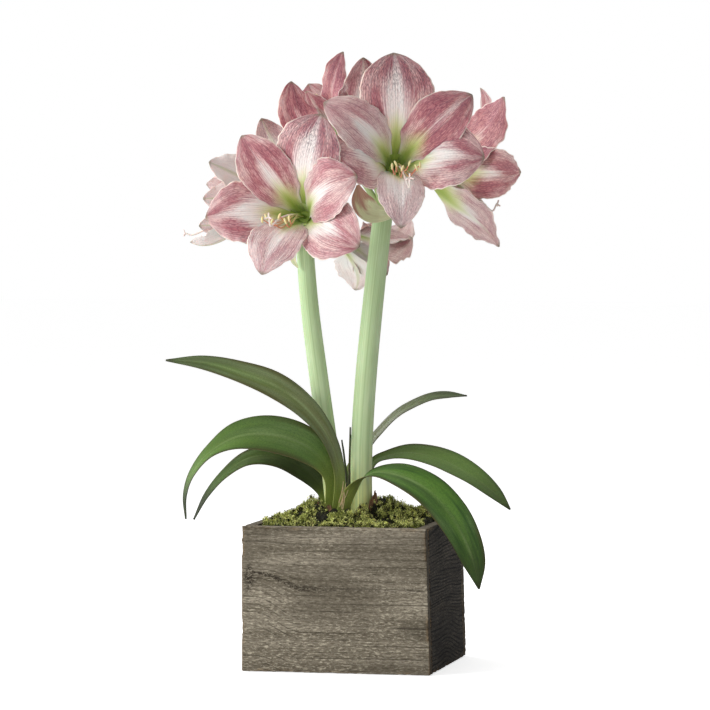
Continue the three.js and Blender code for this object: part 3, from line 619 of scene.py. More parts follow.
def add_tepal(store, bloom, tepal, order, rows, cols):
    share, beside = np.linspace(0, 1, rows + 1)[:, None], np.linspace(-1, 1, cols + 1)[None, :]
    middle, from_axis, across, normal = spine(bloom, tepal, share)
    out, lift = section(tepal, share, beside, from_axis)
    lift = lift + waves(order, share, beside) + frill(order, share, beside) + crease_and_ribs(share, beside)
    lift = lift + tepal.get("fold", 0) * np.abs(out) * ease(0.15, 0.5, share)
    if tepal.get("inner", False):
        lift = lift + INNER_LIES_ABOVE * ease(0.1, 0.5, share)
    out = out * (1 + uneven_edge(order, share, beside))
    points = middle[:, None] + across[:, None] * out[..., None] + normal[:, None] * lift[..., None]
    thickness = PETAL_EDGE + (PETAL_MIDDLE - PETAL_EDGE) * (1 - np.abs(beside) ** 3) * np.ones_like(share)
    places = np.stack(np.broadcast_arrays(beside, share), -1)
    add_blade(store, points, np.broadcast_to(normal[:, None], points.shape), thickness, places,
              tepal_tone(bloom, tepal, order))


trial = Store()
add_tepal(trial, first_bloom, first_tepal, 0, 10, 6)
print("points of a coarse trial tepal:", trial.count)

# %% [markdown]
# ### The finish of a petal
#
# A petal is living tissue, thin and full of water and air. That gives the eye a soft, slightly
# sheer surface with no hard gloss, and a fine glitter of cells. Its colour is a small map of its
# own, drawn in steps. First come the noises. All are stretched along the blade, since a petal's
# veins run from the throat to the tip and gather at both ends by themselves.

# %% Petal: where, and the noises of its veins and blotches
PETAL_SIZE = (33, 96, 17)  # half width and length in mm; the third sets petals apart by their own number
petal, tree, shader = new_material("living_petal")
(across, share, side), (white, pink, dusk, own) = place_and_tone(tree)
away = put(tree, "ABSOLUTE", across)
where = put(tree, "CombineXYZ", across, share, own)
streaks, fine, blotch, specks = patterns(tree, where, PETAL_SIZE, [
    ((2.75, 80, 1), 4, 0),  # streaks nearly as long as the petal
    ((0.55, 16, 1), 5, 0.6),  # threads between them
    ((13.75, 30, 1), 3, 0),  # blotches of stronger and weaker pink
    ((0.7174, 2.5263, 1), 4, 0)])  # dusky specks
print("nodes so far:", len(tree.nodes))

# %% [markdown]
# Small veins form a net, and cells of a Voronoi pattern are such a net when only their borders are
# drawn. They are about 1.4 mm wide and 5.6 mm long, which is coarser than on a real petal, so that
# they still show. The long veins are the zeros of a sine across the blade, 14 to each half, which
# the noises push to and fro.

# %% Petal: the net of small veins and the long ones
NET = (PETAL_SIZE[0] / 1.375, PETAL_SIZE[1] / 5.647, PETAL_SIZE[2])
VEIN_PHASE = 44  # radians of the sine from the midrib to the margin
sway = put(tree, "CombineXYZ", put(tree, TIMES, fine, 0.06))
bent = put(tree, "VectorMath", where, sway, operation="ADD")
cells = put(tree, "Mapping", bent, Scale=NET)
borders = put(tree, "TexVoronoi", cells, 1.0, feature="DISTANCE_TO_EDGE")
net = put(tree, STEP, borders, 0.0, 0.22, 1.0, 0.0)
pushed = put(tree, "ADD", put(tree, TIMES, across, VEIN_PHASE), put(tree, TIMES, fine, 3.0))
pushed = put(tree, "ADD", pushed, put(tree, TIMES, streaks, 6.0))
from_vein = put(tree, "ABSOLUTE", put(tree, "SINE", pushed))
long_veins = put(tree, STEP, from_vein, 0.0, 0.45, 1.0, 0.0)
veins = put(tree, "MAXIMUM", put(tree, TIMES, net, 0.8), long_veins)
print("long veins across half a petal:", round(VEIN_PHASE / math.pi))

# %% [markdown]
# The white band is widest near the throat and fades before the tip. Streaks make its edge ragged.
# From there the pink grows to the margin, where it weakens again a little, and blotches make it
# uneven.

# %% Petal: how pink each place is
band = put(tree, TIMES, white, put(tree, STEP, share, 0.3, 0.95, 0.8, 0.0))
band = put(tree, MINUS, band, put(tree, STEP, share, 0.5, 0.92, 0.0, 0.34))
dusk_widens = put(tree, TIMES, dusk, put(tree, STEP, share, 0.5, 0.8, 0.0, 0.22))
band = put(tree, "ADD", band, dusk_widens)
wander = put(tree, TIMES, put(tree, MINUS, streaks, 0.5), 0.5)
ragged = put(tree, "ADD", away, wander)
starts, ends = put(tree, MINUS, band, 0.12), put(tree, "ADD", band, 0.4)
flush = put(tree, STEP, ragged, starts, ends)
flush = put(tree, TIMES, flush, put(tree, STEP, share, 0.16, 0.42))
flush = put(tree, TIMES, flush, put(tree, STEP, away, 0.45, 1.0, 1.0, 0.72))
flush = put(tree, TIMES, flush, put(tree, STEP, blotch, 0.3, 0.7, 0.55, 1.2))
flush = put(tree, TIMES, flush, pink)
print("nodes so far:", len(tree.nodes))

# %% [markdown]
# Now the colours are laid over each other, as a painter glazes: the white ground, the rose, a
# deeper red where the flush is strongest, the dark veins, and mauve veins on the half-white zone.

# %% Petal: ground, rose and veins
rosy = put(tree, "Mix", put(tree, STEP, blotch, 0.4, 0.6), colour("D99F99"), colour("CB8E92"))
base = put(tree, "Mix", put(tree, "MINIMUM", flush, 1.0), colour("F1E9E5"), rosy)
strongest = put(tree, STEP, flush, 0.5, 1.1)
deep = put(tree, TIMES, strongest, put(tree, STEP, streaks, 0.38, 0.62, 0.15, 0.6))
base = put(tree, "Mix", deep, base, colour("B4646B"))
dark_veins = put(tree, TIMES, veins, put(tree, TIMES, flush, 0.9))
base = put(tree, "Mix", dark_veins, base, colour("8E4656"))
change = put(tree, STEP, flush, 0.05, 0.35)
change = put(tree, TIMES, change, put(tree, STEP, flush, 0.9, 0.4))
mauve_veins = put(tree, TIMES, long_veins, put(tree, TIMES, change, 0.85))
base = put(tree, "Mix", mauve_veins, base, colour("AE6675"))
base = put(tree, "Mix", put(tree, TIMES, long_veins, 0.24), base, colour("A07E88"))
print("nodes so far:", len(tree.nodes))

# %% [markdown]
# Dusky specks thicken towards the tip of some petals, as if dusted with cocoa. The throat glows
# yellow-green, strongest in the middle, and the streaks make its border ragged too.

# %% Petal: dusk and throat
grains = put(tree, STEP, specks, 0.44, 0.62, 0.12, 1.0)
dusted = put(tree, TIMES, grains, put(tree, STEP, fine, 0.4, 0.6, 0.4, 1.0))
dusted = put(tree, TIMES, dusted, put(tree, STEP, share, 0.4, 0.9))
dusted = put(tree, TIMES, dusted, put(tree, "ADD", put(tree, TIMES, dusk, 0.8), 0.18))
base = put(tree, "Mix", put(tree, "MINIMUM", dusted, 0.9), base, colour("6B535C"))
from_throat = put(tree, "ADD", share, put(tree, TIMES, away, 0.26))
frayed = put(tree, TIMES, put(tree, MINUS, streaks, 0.5), 0.1)
from_throat = put(tree, "ADD", from_throat, frayed)
base = put(tree, "Mix", put(tree, STEP, from_throat, 0.28, 0.58, 0.95, 0.0), base, colour("D2DC8A"))
base = put(tree, "Mix", put(tree, STEP, from_throat, 0.18, 0.44, 0.94, 0.0), base, colour("A0B94C"))
print("nodes so far:", len(tree.nodes))

# %% [markdown]
# Outside, a pale petal keeps a green line along its keel. A pale thread follows the edge, and the
# very tip is a touch of brown-green.

# %% Petal: keel, edge and tip
outside = put(tree, STEP, side, -0.1, 0.1, 1.0, 0.0)
keel = put(tree, TIMES, put(tree, STEP, away, 0.02, 0.16, 0.5, 0.0), outside)
base = put(tree, "Mix", put(tree, TIMES, keel, white), base, colour("B3B986"))
thread = put(tree, STEP, away, 0.95, 0.985)
thread = put(tree, TIMES, thread, put(tree, STEP, share, 0.3, 0.5, 0.0, 0.85))
base = put(tree, "Mix", thread, base, colour("F5E2D6"))
base = put(tree, "Mix", put(tree, STEP, share, 0.955, 0.995, 0.0, 0.7), base, colour("857F66"))
print("nodes so far:", len(tree.nodes))

# %% [markdown]
# Water-filled tissue has an index of refraction of about 1.4, and a petal's fine cells make it
# matt. Some light enters and comes out again a millimetre or two away, red furthest, which is what
# makes a petal glow. Threads and streaks stand up and the long veins lie a little sunk.

# %% Petal: the surface
relief = put(tree, "ADD", put(tree, TIMES, fine, 0.7), put(tree, TIMES, long_veins, -0.6))
relief = put(tree, "ADD", relief, put(tree, TIMES, streaks, 1.6))
dress(petal, tree, shader, {
    "Base Color": base, "Roughness": 0.5, "IOR": 1.4, "Sheen Weight": 0.1, "Subsurface Weight": 0.4,
    "Subsurface Radius": (1.0, 0.6, 0.55), "Subsurface Scale": 1.6 * MM,
    "Normal": put(tree, "Bump", Height=relief, Distance=0.5 * MM, Strength=0.9)})

# %% [markdown]
# ### The blooms
#
# Each bloom is one piece: six tepals, the green tube they grow from and the funnel inside it. The
# two front blooms are nearest to the eye and get finer rows and columns than the others.

# %% Tube and funnel, and the blooms themselves
THROAT_TONE = (1.0, 0.0, 0.0, 0.5)
FINE, PLAIN = (64, 36), (44, 24)  # rows and columns of a petal
FUNNEL = [(-22, 4.6), (-15, 6.4), (-8, 8.6), (-1, 11.5)]


def add_tube(store, bloom):
    throat, faces = bloom_axes(bloom)[:2]
    outside = [(-TUBE["behind"], TUBE["radius"] - 0.6), (4 - TUBE["behind"], TUBE["radius"]),
               (-TUBE["plug"], TUBE["radius"] + 0.6)]
    tube = [(*(throat + faces * ahead), radius) for ahead, radius in outside]
    funnel = [(*(throat + faces * ahead), radius) for ahead, radius in FUNNEL]
    stalk(store, tube, 24, 4, THROAT_TONE, marked=0.1)
    stalk(store, funnel, 24, 8, THROAT_TONE, closed_ends=False, marked=0.12)


for name, bloom in BLOOMS.items():
    store = Store()
    rows, cols = FINE if bloom["fine"] == 2 else PLAIN
    for order, tepal in enumerate(bloom["tepals"]):
        add_tepal(store, bloom, tepal, order, rows, cols)
    add_tube(store, bloom)
    finish_piece(store, "petals_" + name, petal, "bloom_" + name)

# %% [markdown]
# ## Stamens and style
#
# Six filaments lean on the lower side of each flower and curve up at their ends, where a narrow
# anther balances across each tip like a boat on a post. The style runs longer and ends in three
# lobes. Filaments are living tissue, pink that pales to the base, with a soft and slightly sheer
# surface. The anthers are powdery with pollen, whose grain is drawn about 0.4 mm wide, coarser than
# it is, so that it shows. The stamens' `tone` says what is pollen and what is style.

# %% The stamens' finish
POLLEN_GRAIN = 0.3846
stamen, tree, shader = new_material("filament_and_pollen")
place, tone = place_and_tone(tree)
spot = put(tree, "NewGeometry").outputs["Position"]
grain = put(tree, "TexNoise", spot, METRE[0] / POLLEN_GRAIN)
stem = put(tree, "Mix", put(tree, STEP, place[1], 0.12, 0.35), colour("7E9440"), colour("C9C98A"))
stem = put(tree, "Mix", put(tree, STEP, place[1], 0.3, 0.85), stem, colour("DB8E72"))
stem = put(tree, "Mix", put(tree, STEP, tone[1], 0.4, 0.6), stem, colour("E9DAD2"))
pollen = put(tree, "Mix", grain, colour("CBB56C"), colour("F3EBBA"))
dress(stamen, tree, shader, {
    "Base Color": put(tree, "Mix", tone[0], stem, pollen), "Roughness": 0.6,
    "Subsurface Weight": 0.15, "Subsurface Scale": 0.8 * MM,
    "Normal": put(tree, "Bump", Height=grain, Distance=0.15 * MM, Strength=0.6)})

# %% [markdown]
# Every thread starts on the flower's plug and is a stalk through a few stations. A station is told
# as the flower sees it: ahead along its axis, dropped below it, and aside. How much a flower's
# stamens sink, spread and shift is in its own row of the table. An anther is a stalk as well, thick
# in the middle and laid across its filament's tip.

# %% Filaments with their anthers
POLLEN, FILAMENT, STYLE = (1, 0, 0), (0, 0, 0), (0, 1, 0)
ANTHER = {"half": 3.6, "bow": 1.1, "radius": 1.25}
STAMEN_SIZES = dict(sink=1, shift=0, spread=1, low=20, long=66, dip=1.36)


def station(bloom, ahead, drop, aside, radius):
    throat, faces, up, right = bloom_axes(bloom)
    return (*(throat + faces * ahead - up * drop + right * aside), radius)


def add_anther(store, bloom, number, tip):
    faces, up, right = bloom_axes(bloom)[1:]
    lean = unit(up + 0.5 * math.sin(2.1 * number) * right + 0.2 * faces)
    boat = []
    for part in (-1, -0.75, -0.4, 0, 0.4, 0.75, 1):
        middle = np.asarray(tip) + lean * ANTHER["half"] * part - faces * ANTHER["bow"] * part**2
        boat.append((*middle, ANTHER["radius"] * math.sqrt(max(0.04, 1 - part**2)) ** 0.8))
    stalk(store, boat, 8, 12, POLLEN)


def add_filament(store, bloom, number, sizes):
    turn = math.radians(60 * number + 15)
    aside, over = math.cos(turn), math.sin(turn)
    sink, shift, spread = sizes["sink"], sizes["shift"], sizes["spread"]
    foot = station(bloom, 3 - TUBE["plug"], -1.7 * over, 1.7 * aside, 0.55)
    low = station(bloom, 8, 5 * sink - 2.4 * over, 2.8 * aside + 0.3 * shift, 0.75)
    high = station(bloom, 28, 19 * sink - 3.6 * over, (3 + 6 * spread) * aside + 0.7 * shift, 0.7)
    end = station(bloom, 46, 17 * sink - 3 * over, 15 * spread * aside + shift, 0.45)
    stalk(store, [foot, low, high, end], 8, 26, FILAMENT)
    add_anther(store, bloom, number, end[:3])


print("a foot of a filament:", np.round(station(BLOOMS["front_left"], 3 - TUBE["plug"], 0, 0, 0.55), 1))

# %% [markdown]
# The style starts among the filaments, runs well past them and sinks under its own weight before
# it rises at its end. Three short lobes bend back from its tip, one up and two down. A spray and its
# flower only seem to touch: like all such pieces here, they keep a narrow gap.

# %% The style with its three lobes, and the sprays of all blooms
GAP = 0.3


def add_style(store, bloom, sizes):
    faces, up, right = bloom_axes(bloom)[1:]
    low, long, shift = sizes["low"], sizes["long"], sizes["shift"]
    tip = station(bloom, long, low, shift, 0.95)
    stalk(store, [station(bloom, 3 - TUBE["plug"], 0, 0, 0.8),
                  station(bloom, 0.25 * long, 0.25 * low, 0.4 * shift, 0.9),
                  station(bloom, 0.6 * long, 0.75 * low, 0.8 * shift, 0.95),
                  station(bloom, 0.88 * long, sizes["dip"] * low, shift, 0.95), tip], 8, 40, STYLE)
    for angle in (90, 210, 330):
        turn = math.radians(angle)
        out = right * math.cos(turn) + up * math.sin(turn)
        lobe = [(*(np.asarray(tip[:3]) + faces * 2.4 * part + out * 4.2 * part**2), 1.0 - 0.2 * part)
                for part in (0, 0.5, 1)]
        stalk(store, lobe, 8, 8, STYLE)


for name, bloom in BLOOMS.items():
    store = Store()
    sizes = STAMEN_SIZES | bloom["stamens"]
    root = [station(bloom, GAP - TUBE["plug"], 0, 0, 2.5), station(bloom, 4 - TUBE["plug"], 0, 0, 2.5)]
    stalk(store, root, 12, 1, FILAMENT, marked=0.1)
    for number in range(6):
        add_filament(store, bloom, number, sizes)
    add_style(store, bloom, sizes)
    finish_piece(store, "stamens_fine_" + name, stamen, "stamens_" + name)

# %% [markdown]
# ## Flower stems
#
# The leafless stem of an amaryllis is smooth, hollow and faintly ribbed, a pale apple green with a
# waxy coat that rubs off. The wax gives the eye a soft sheen that is sharper in some patches than
# in others. The ribs are fine long lines about 1.3 mm apart round the stem, and the patches are
# some 20 mm wide. `tone` marks the pedicels and ovaries, which are a fuller green.

# %% The stems' finish
STEM_SIZE = (33, 330, 1)  # half the way round and the length in mm
stem_skin, tree, shader = new_material("waxy_flower_stem")
place, tone = place_and_tone(tree)
where = put(tree, "CombineXYZ", place[0], place[1])
ribs, patches = patterns(tree, where, STEM_SIZE, [
    ((1.2692, 275, 1), 4, 0),
    ((20.625, 66, 1), 3, 0)])
base = put(tree, "Mix", put(tree, STEP, place[1], 0.0, 0.3), colour("DAE090"), colour("B3C796"))
base = put(tree, "Mix", put(tree, STEP, place[1], 0.3, 0.9), base, colour("AFC795"))
base = put(tree, "Mix", put(tree, STEP, ribs, 0.4, 0.62, 0.0, 0.6), base, colour("8FA976"))
base = put(tree, "Mix", put(tree, STEP, patches, 0.4, 0.8, 0.0, 0.5), base, colour("CDDCBC"))
base = put(tree, "Mix", tone[0], base, colour("7F9350"))
dress(stem_skin, tree, shader, {
    "Base Color": base, "Roughness": put(tree, STEP, patches, 0.3, 0.7, 0.42, 0.6),
    "Subsurface Weight": 0.12, "Subsurface Scale": 2 * MM,
    "Normal": put(tree, "Bump", Height=ribs, Distance=0.3 * MM, Strength=0.6)})

# %% [markdown]
# At the top of a stem four pedicels spring from one point, and each swells into an ovary under its
# flower. A pedicel leaves the stem upwards and then bows out to the way its flower looks, so its
# middle station is drawn back from the straight line by a share of its length.

# %% Stems, pedicels and ovaries
SCAPES = {
    "left": [(-20.5, 4, 158.3, 10.8), (-30, 3, 236, 10.2), (-40, 2, 308, 10), (-49, 1, 380, 9.6),
             (-55, 0, 456, 9.2)],
    "right": [(6, -2, 158.3, 11.6), (6, -2, 225, 11.6), (10.4, -2, 300, 11.4), (18.6, -1, 386, 11),
              (29.5, 0, 484, 10.4)],
}
OVARY = {"length": 16, "radius": 6.2, "widest": 0.55}
PEDICEL = {"radius": 3.4, "bow": 0.12, "sunk": 6}
PEDICEL_TONE = (0.7, 0, 0)


def pedicel_run(top_of_stem, bloom):
    throat, faces = bloom_axes(bloom)[:2]
    start = np.array(top_of_stem) - (0, 0, PEDICEL["sunk"])
    ovary_end = throat - faces * (TUBE["behind"] + GAP)
    ovary_start = ovary_end - faces * OVARY["length"]
    bow = PEDICEL["bow"] * np.linalg.norm(ovary_start - start)
    middle = (start + ovary_start) / 2 - faces * bow
    swell = ovary_start + (ovary_end - ovary_start) * OVARY["widest"]
    return [(*start, PEDICEL["radius"]), (*middle, PEDICEL["radius"]),
            (*ovary_start, PEDICEL["radius"] + 0.6), (*swell, OVARY["radius"]),
            (*ovary_end, TUBE["radius"] - 0.4)]


for umbel, run in SCAPES.items():
    store = Store()
    stalk(store, run, 54, 90, (0, 0, 0), level_foot=True, ridges=0.012)
    for bloom in BLOOMS.values():
        if bloom["umbel"] == umbel:
            stalk(store, pedicel_run(run[-1][:3], bloom), 20, 30, PEDICEL_TONE)
    finish_piece(store, "flower_stem_" + umbel, stem_skin, "scape_" + umbel)

# %% [markdown]
# ## Strap leaves
#
# The leaves stand in two fans, left and right, and arch over under their own weight. A station has
# a point, half the blade's width there, and by how many degrees the face tilts to the front. The
# other numbers steer the finish: how bronze a leaf is, how light, and how much painted shade lies
# on its tip. A light below nought paints a shadow near the leaf's foot.

# %% The leaves' runs
LEAVES = {
    "upper_left": dict(side=-1, bronze=0.85, run=[
        (-20, -16, 158.3, 7, 60), (-18, -19, 202, 8, 45), (-29, -26, 240, 9, 60),
        (-53, -29, 272, 12.5, 70), (-85, -26, 295, 14.5, 70), (-122, -18, 309, 12, 66),
        (-162, -6, 318.5, 8, 62), (-201, 6, 320.5, 1, 60)]),
    "mid_left": dict(side=-1, bronze=0.05, light=0.3, painted_tip_shade=0.9, run=[
        (-27.5, -12, 158.3, 7, 60), (-27, -15, 200, 11, 50), (-49, -19, 229, 19, 66),
        (-85, -28, 243, 20.5, 68), (-122, -38, 242.5, 16.5, 62), (-152, -46, 227, 8, 52),
        (-171, -51, 204, 4.5, 48), (-178.5, -54, 181, 3, 42), (-177.5, -56, 157, 1, 46)]),
    "low_left": dict(side=-1, bronze=0.35, light=-0.75, painted_tip_shade=0.9, run=[
        (-28, 15, 158.3, 7, 70), (-35, 16, 184, 9, 70), (-59, 14, 208, 14, 70), (-86, 8, 219, 13, 64),
        (-115, 0, 216.5, 9, 58), (-139, -5, 200, 5.5, 54), (-158, -9, 178, 3.5, 52),
        (-171, -12, 153, 1, 50)]),
    "front_right": dict(side=1, bronze=0.0, run=[
        (-15, -22, 158.3, 7, -60), (-4, -27, 185, 9, -40), (16, -33, 202.5, 10, 14),
        (45, -43, 201.5, 15.5, 48), (75, -54, 187, 19, 58), (97, -63, 164, 19.5, 64),
        (112, -69, 139, 18, 62), (122.5, -73, 112, 13.5, 60), (128, -76, 85.5, 1, 60)]),
    "mid_right": dict(side=1, bronze=0.15, light=0.45, run=[
        (3, 16, 158.3, 7, 70), (7, 16.5, 187, 7, 62), (18, 18, 211, 6, 42), (35, 18, 219, 7.5, 38),
        (58, 18, 221.5, 13, 36), (82, 16, 217, 17, 35), (103, 12, 208.5, 18.5, 36),
        (126, 7, 195.5, 16, 37), (146, 2, 180, 10.5, 41), (163, -4, 163, 1, 46)]),
    "upper_right": dict(side=1, bronze=1.0, run=[
        (-9, 27, 158.3, 6, 60), (-5, 28, 200, 7, 60), (14, 26, 230, 8, 30), (26, 27, 244.5, 8, 26),
        (41, 30, 259, 9, 22), (57, 34, 269.5, 10.5, 20), (78, 38, 278.5, 11, 18), (99, 43, 281, 10, 17),
        (118.5, 48, 281, 1, 16)]),
}
YOUNG_LEAVES = {
    "tall": dict(side=-1, bronze=0.3, run=[
        (-7.6, 2, 158.3, 4.5, 11), (-7.4, 2, 195, 5.5, 11), (-6.6, 2, 228, 4, 11), (-6, 2, 250, 1, 11)]),
    "short": dict(side=-1, bronze=0.3, run=[
        (-9, 14, 158.3, 4, 10), (-10.5, 13, 198, 4.5, 10), (-15, 12, 236, 1, 10)]),
}
print("leaves:", len(LEAVES), "young leaves:", len(YOUNG_LEAVES))

# %% [markdown]
# Each leaf is a shallow gutter with a rounded keel. In the frame its section is a plain V, and here
# it is a soft curve through the same edges, with low ribs for the parallel veins and a margin that
# waves a little. The bracts and the young leaves are made by the same function.

# %% One strap leaf
KEEL_ROUNDING = 0.02
VEIN_RIB = {"high": 0.05, "across": 7}
MARGIN_WAVE = {"high": 0.25, "quick": 17}
EDGE_SHARE = 0.45  # how thick the edge is as a share of the middle


def strap_frame(leaf, share, stands):
    """The stations, the way across the blade and the way its face looks."""
    stations, heading = along(leaf["run"], share), heading_along(leaf["run"], share)
    if stands:
        heading[0] = (0, 0, 1)
    to_front = np.array((0, -1.0, 0))
    front = unit(to_front - heading * (heading @ to_front)[:, None])
    over = np.cross(heading, front) * -leaf["side"]
    tilt = np.radians(stations[:, 4:5])
    return stations, front * np.cos(tilt) - over * np.sin(tilt), over * np.cos(tilt) + front * np.sin(tilt)


def add_strap(store, leaf, thickness, rows, cols, tone, gutter=0.18, stands=True):
    share, beside = np.linspace(0, 1, rows + 1), np.linspace(-1, 1, cols + 1)[None, :]
    stations, across, face = strap_frame(leaf, share, stands)
    half = stations[:, 3:4]
    dished = np.sqrt(beside**2 + KEEL_ROUNDING) - math.sqrt(KEEL_ROUNDING)
    lift = gutter * half * dished + VEIN_RIB["high"] * np.cos(FULL_TURN * VEIN_RIB["across"] * beside)
    wavy = np.sin(MARGIN_WAVE["quick"] * share[:, None] + 3 * half[0, 0]) * np.abs(beside) ** 3
    lift = lift + MARGIN_WAVE["high"] * wavy
    points = stations[:, None, :3] + across[:, None] * (beside * half)[..., None]
    points = points + face[:, None] * lift[..., None]
    thick = EDGE_SHARE + (1 - EDGE_SHARE) * (1 - np.abs(beside) ** 2.5)
    thick = thickness * thick * np.ones_like(share)[:, None]
    normal = np.broadcast_to(face[:, None], points.shape)
    places = np.stack(np.broadcast_arrays(beside, share[:, None]), -1)
    if leaf["side"] > 0:
        points, normal, places = points[:, ::-1], normal[:, ::-1], places[:, ::-1]
    add_blade(store, points, normal, thick, places, tone)


trial = Store()
add_strap(trial, LEAVES["front_right"], 1.5, 10, 4, (0, 0, 0))
print("points of a coarse trial leaf:", trial.count)

# %% [markdown]
# ### The finish of a leaf
#
# A living strap leaf has a tough smooth skin with a thin coat of wax. The skin gives the eye a
# satin gloss that is wetter than a petal's, and the wax dulls it to grey-green in patches. Veins
# run the whole length about half a millimetre apart. The cells between them are drawn 0.3 mm wide,
# coarser than real ones, so that the surface isn't flat in colour.

# %% Leaf: where, and the noises of its veins and wax
LEAF_SIZE = (17, 330, 9)  # half width and length in mm; the third sets leaves apart by their own number
leaf_skin, tree, shader = new_material("waxy_strap_leaf")
(across, share, side), (bronze, own, light, painted_tip_shade) = place_and_tone(tree)
away = put(tree, "ABSOLUTE", across)
where = put(tree, "CombineXYZ", across, share, own)
veins, wax, cells, wide = patterns(tree, where, LEAF_SIZE, [
    ((0.5, 132, 1), 4, 0),
    ((7.7273, 82.5, 1), 4, 0),
    ((0.28333, 2.0625, 1), 2, 0),
    ((13.077, 150, 1), 2, 0)])
print("nodes so far:", len(tree.nodes))

# %% [markdown]
# Under the wax a leaf is green, lighter in wide soft stretches. The upper leaves are flushed bronze
# from the bulb on, and the flush thins out towards the tip. The wax lies over both.

# %% Leaf: green, bronze and wax
green = put(tree, "Mix", put(tree, STEP, veins, 0.3, 0.7), colour("28461A"), colour("4A6E29"))
green = put(tree, "Mix", put(tree, STEP, wide, 0.42, 0.66, 0.0, 0.7), green, colour("5F8633"))
green = put(tree, "Mix", light, green, colour("86A359"))
brown = put(tree, "Mix", put(tree, STEP, veins, 0.3, 0.7), colour("4E4E24"), colour("6E6A34"))
brown = put(tree, "Mix", put(tree, STEP, wide, 0.42, 0.66, 0.0, 0.6), brown, colour("556530"))
bronzed = put(tree, TIMES, bronze, put(tree, STEP, share, 0.3, 0.85, 1.0, 0.4))
base = put(tree, "Mix", bronzed, green, brown)
base = put(tree, "Mix", put(tree, STEP, wax, 0.46, 0.78, 0.0, 0.45), base, colour("7D9660"))
dulled = put(tree, TIMES, bronzed, put(tree, STEP, wax, 0.3, 0.6, 0.15, 0.5))
base = put(tree, "Mix", dulled, base, colour("8F9478"))
print("nodes so far:", len(tree.nodes))

# %% [markdown]
# A paler stripe lies over the keel, the underside is duller and browner, and the margin is flushed
# brown in places and darkened by painted shade, with a thin brown line on its edge.

# %% Leaf: keel, underside and margin
base = put(tree, "Mix", put(tree, STEP, away, 0.0, 0.5, 0.16, 0.0), base, colour("86A058"))
stripe = put(tree, STEP, away, 0.02, 0.12, 0.3, 0.0)
stripe = put(tree, TIMES, stripe, put(tree, STEP, wax, 0.35, 0.6, 0.3, 1.0))
base = put(tree, "Mix", stripe, base, colour("97AA74"))
base = put(tree, "Mix", put(tree, STEP, side, -0.2, 0.2, 0.65, 0.0), base, colour("636036"))
flushed = put(tree, STEP, away, 0.66, 1.0, 0.0, 0.7)
flushed = put(tree, TIMES, flushed, put(tree, STEP, wide, 0.54, 0.38))
base = put(tree, "Mix", flushed, base, colour("5E4C2A"))
# Painted shade darkens both margins of the blade.
base = put(tree, "Mix", put(tree, STEP, away, 0.6, 1.0, 0.0, 0.4), base, colour("263B1B"))
base = put(tree, "Mix", put(tree, STEP, away, 0.955, 0.985, 0.0, 0.5), base, colour("6A5A30"))
print("nodes so far:", len(tree.nodes))

# %% [markdown]
# Along its length a leaf is pale yellow-green where it leaves the bulb and darker in its far part,
# down to a dry tip. Some leaves, whose tips hang over, get painted shade on the tip. A leaf whose
# light is below nought gets a painted shadow near its foot, where the others shade it.

# %% Leaf: foot, far part and tip
base = put(tree, "Mix", put(tree, STEP, share, 0.04, 0.24, 0.8, 0.0), base, colour("A9B95C"))
base = put(tree, "Mix", put(tree, STEP, share, 0.7, 0.96, 0.0, 0.6), base, colour("3A4420"))
base = put(tree, "Mix", put(tree, STEP, share, 0.95, 0.99, 0.0, 0.7), base, colour("2E2A16"))
# Painted shade over the hanging tips of the leaves that have it.
tip_shade_mask = put(tree, TIMES, painted_tip_shade, put(tree, STEP, share, 0.72, 0.93))
base = put(tree, "Mix", tip_shade_mask, base, colour("262A17"))
# Painted shadow near the foot, for a leaf whose light is below nought.
painted_foot_shadow = put(tree, TIMES, put(tree, TIMES, light, -1.0), put(tree, STEP, share, 0.62, 0.3))
painted_foot_shadow = put(tree, TIMES, painted_foot_shadow, put(tree, STEP, share, 0.04, 0.2))
base = put(tree, "Mix", painted_foot_shadow, base, colour("2A2F1C"))
base = put(tree, "Mix", put(tree, STEP, cells, 0.35, 0.65, 0.0, 0.4), base, colour("22391A"))
print("nodes so far:", len(tree.nodes))

# %% [markdown]
# The index of refraction is 1.45, between water and wax. The gloss follows the wax, and veins and
# cells make a low relief.

# %% Leaf: the surface, and the leaves themselves
relief = put(tree, "ADD", veins, put(tree, TIMES, cells, 0.25))
dress(leaf_skin, tree, shader, {
    "Base Color": base, "Roughness": put(tree, STEP, wax, 0.3, 0.75, 0.36, 0.55), "IOR": 1.45,
    "Specular IOR Level": 0.3, "Subsurface Weight": 0.05, "Subsurface Scale": 1 * MM,
    "Normal": put(tree, "Bump", Height=relief, Distance=0.25 * MM, Strength=0.7)})
LEAF_THICKNESS = 1.5
for number, (name, leaf) in enumerate(LEAVES.items()):
    store = Store()
    tone = (leaf["bronze"], 0.13 * number, leaf.get("light", 0), leaf.get("painted_tip_shade", 0))
    add_strap(store, leaf, LEAF_THICKNESS, 130, 22, tone)
    finish_piece(store, "strap_leaf_" + name, leaf_skin, "leaf_" + name)
for number, (name, leaf) in enumerate(YOUNG_LEAVES.items()):
    store = Store()
    add_strap(store, leaf, LEAF_THICKNESS, 60, 10, (leaf["bronze"], 0.9 + 0.03 * number, 0))
    finish_piece(store, "young_strap_leaf_" + name, leaf_skin, "young_leaf_" + name)

# %% [markdown]
# ## Bracts and tunic
#
# The bud was wrapped in papery bracts, which hang withered at the top of each stem. The bulb wears
# dry brown tunics, and their torn ends stand round its neck. Both are dead, dry tissue, and that
# gives the eye a matt, ribbed and slightly sheer surface like paper. So they share one recipe with
# colours of their own: light, browned, and a fleck between the ribs. `tone` says how far a piece
# has browned towards its end, and how much it has bleached to straw.

# %% The finish of dry papery pieces
PAPER_SIZE = (8, 60, 1)  # half width and length in mm


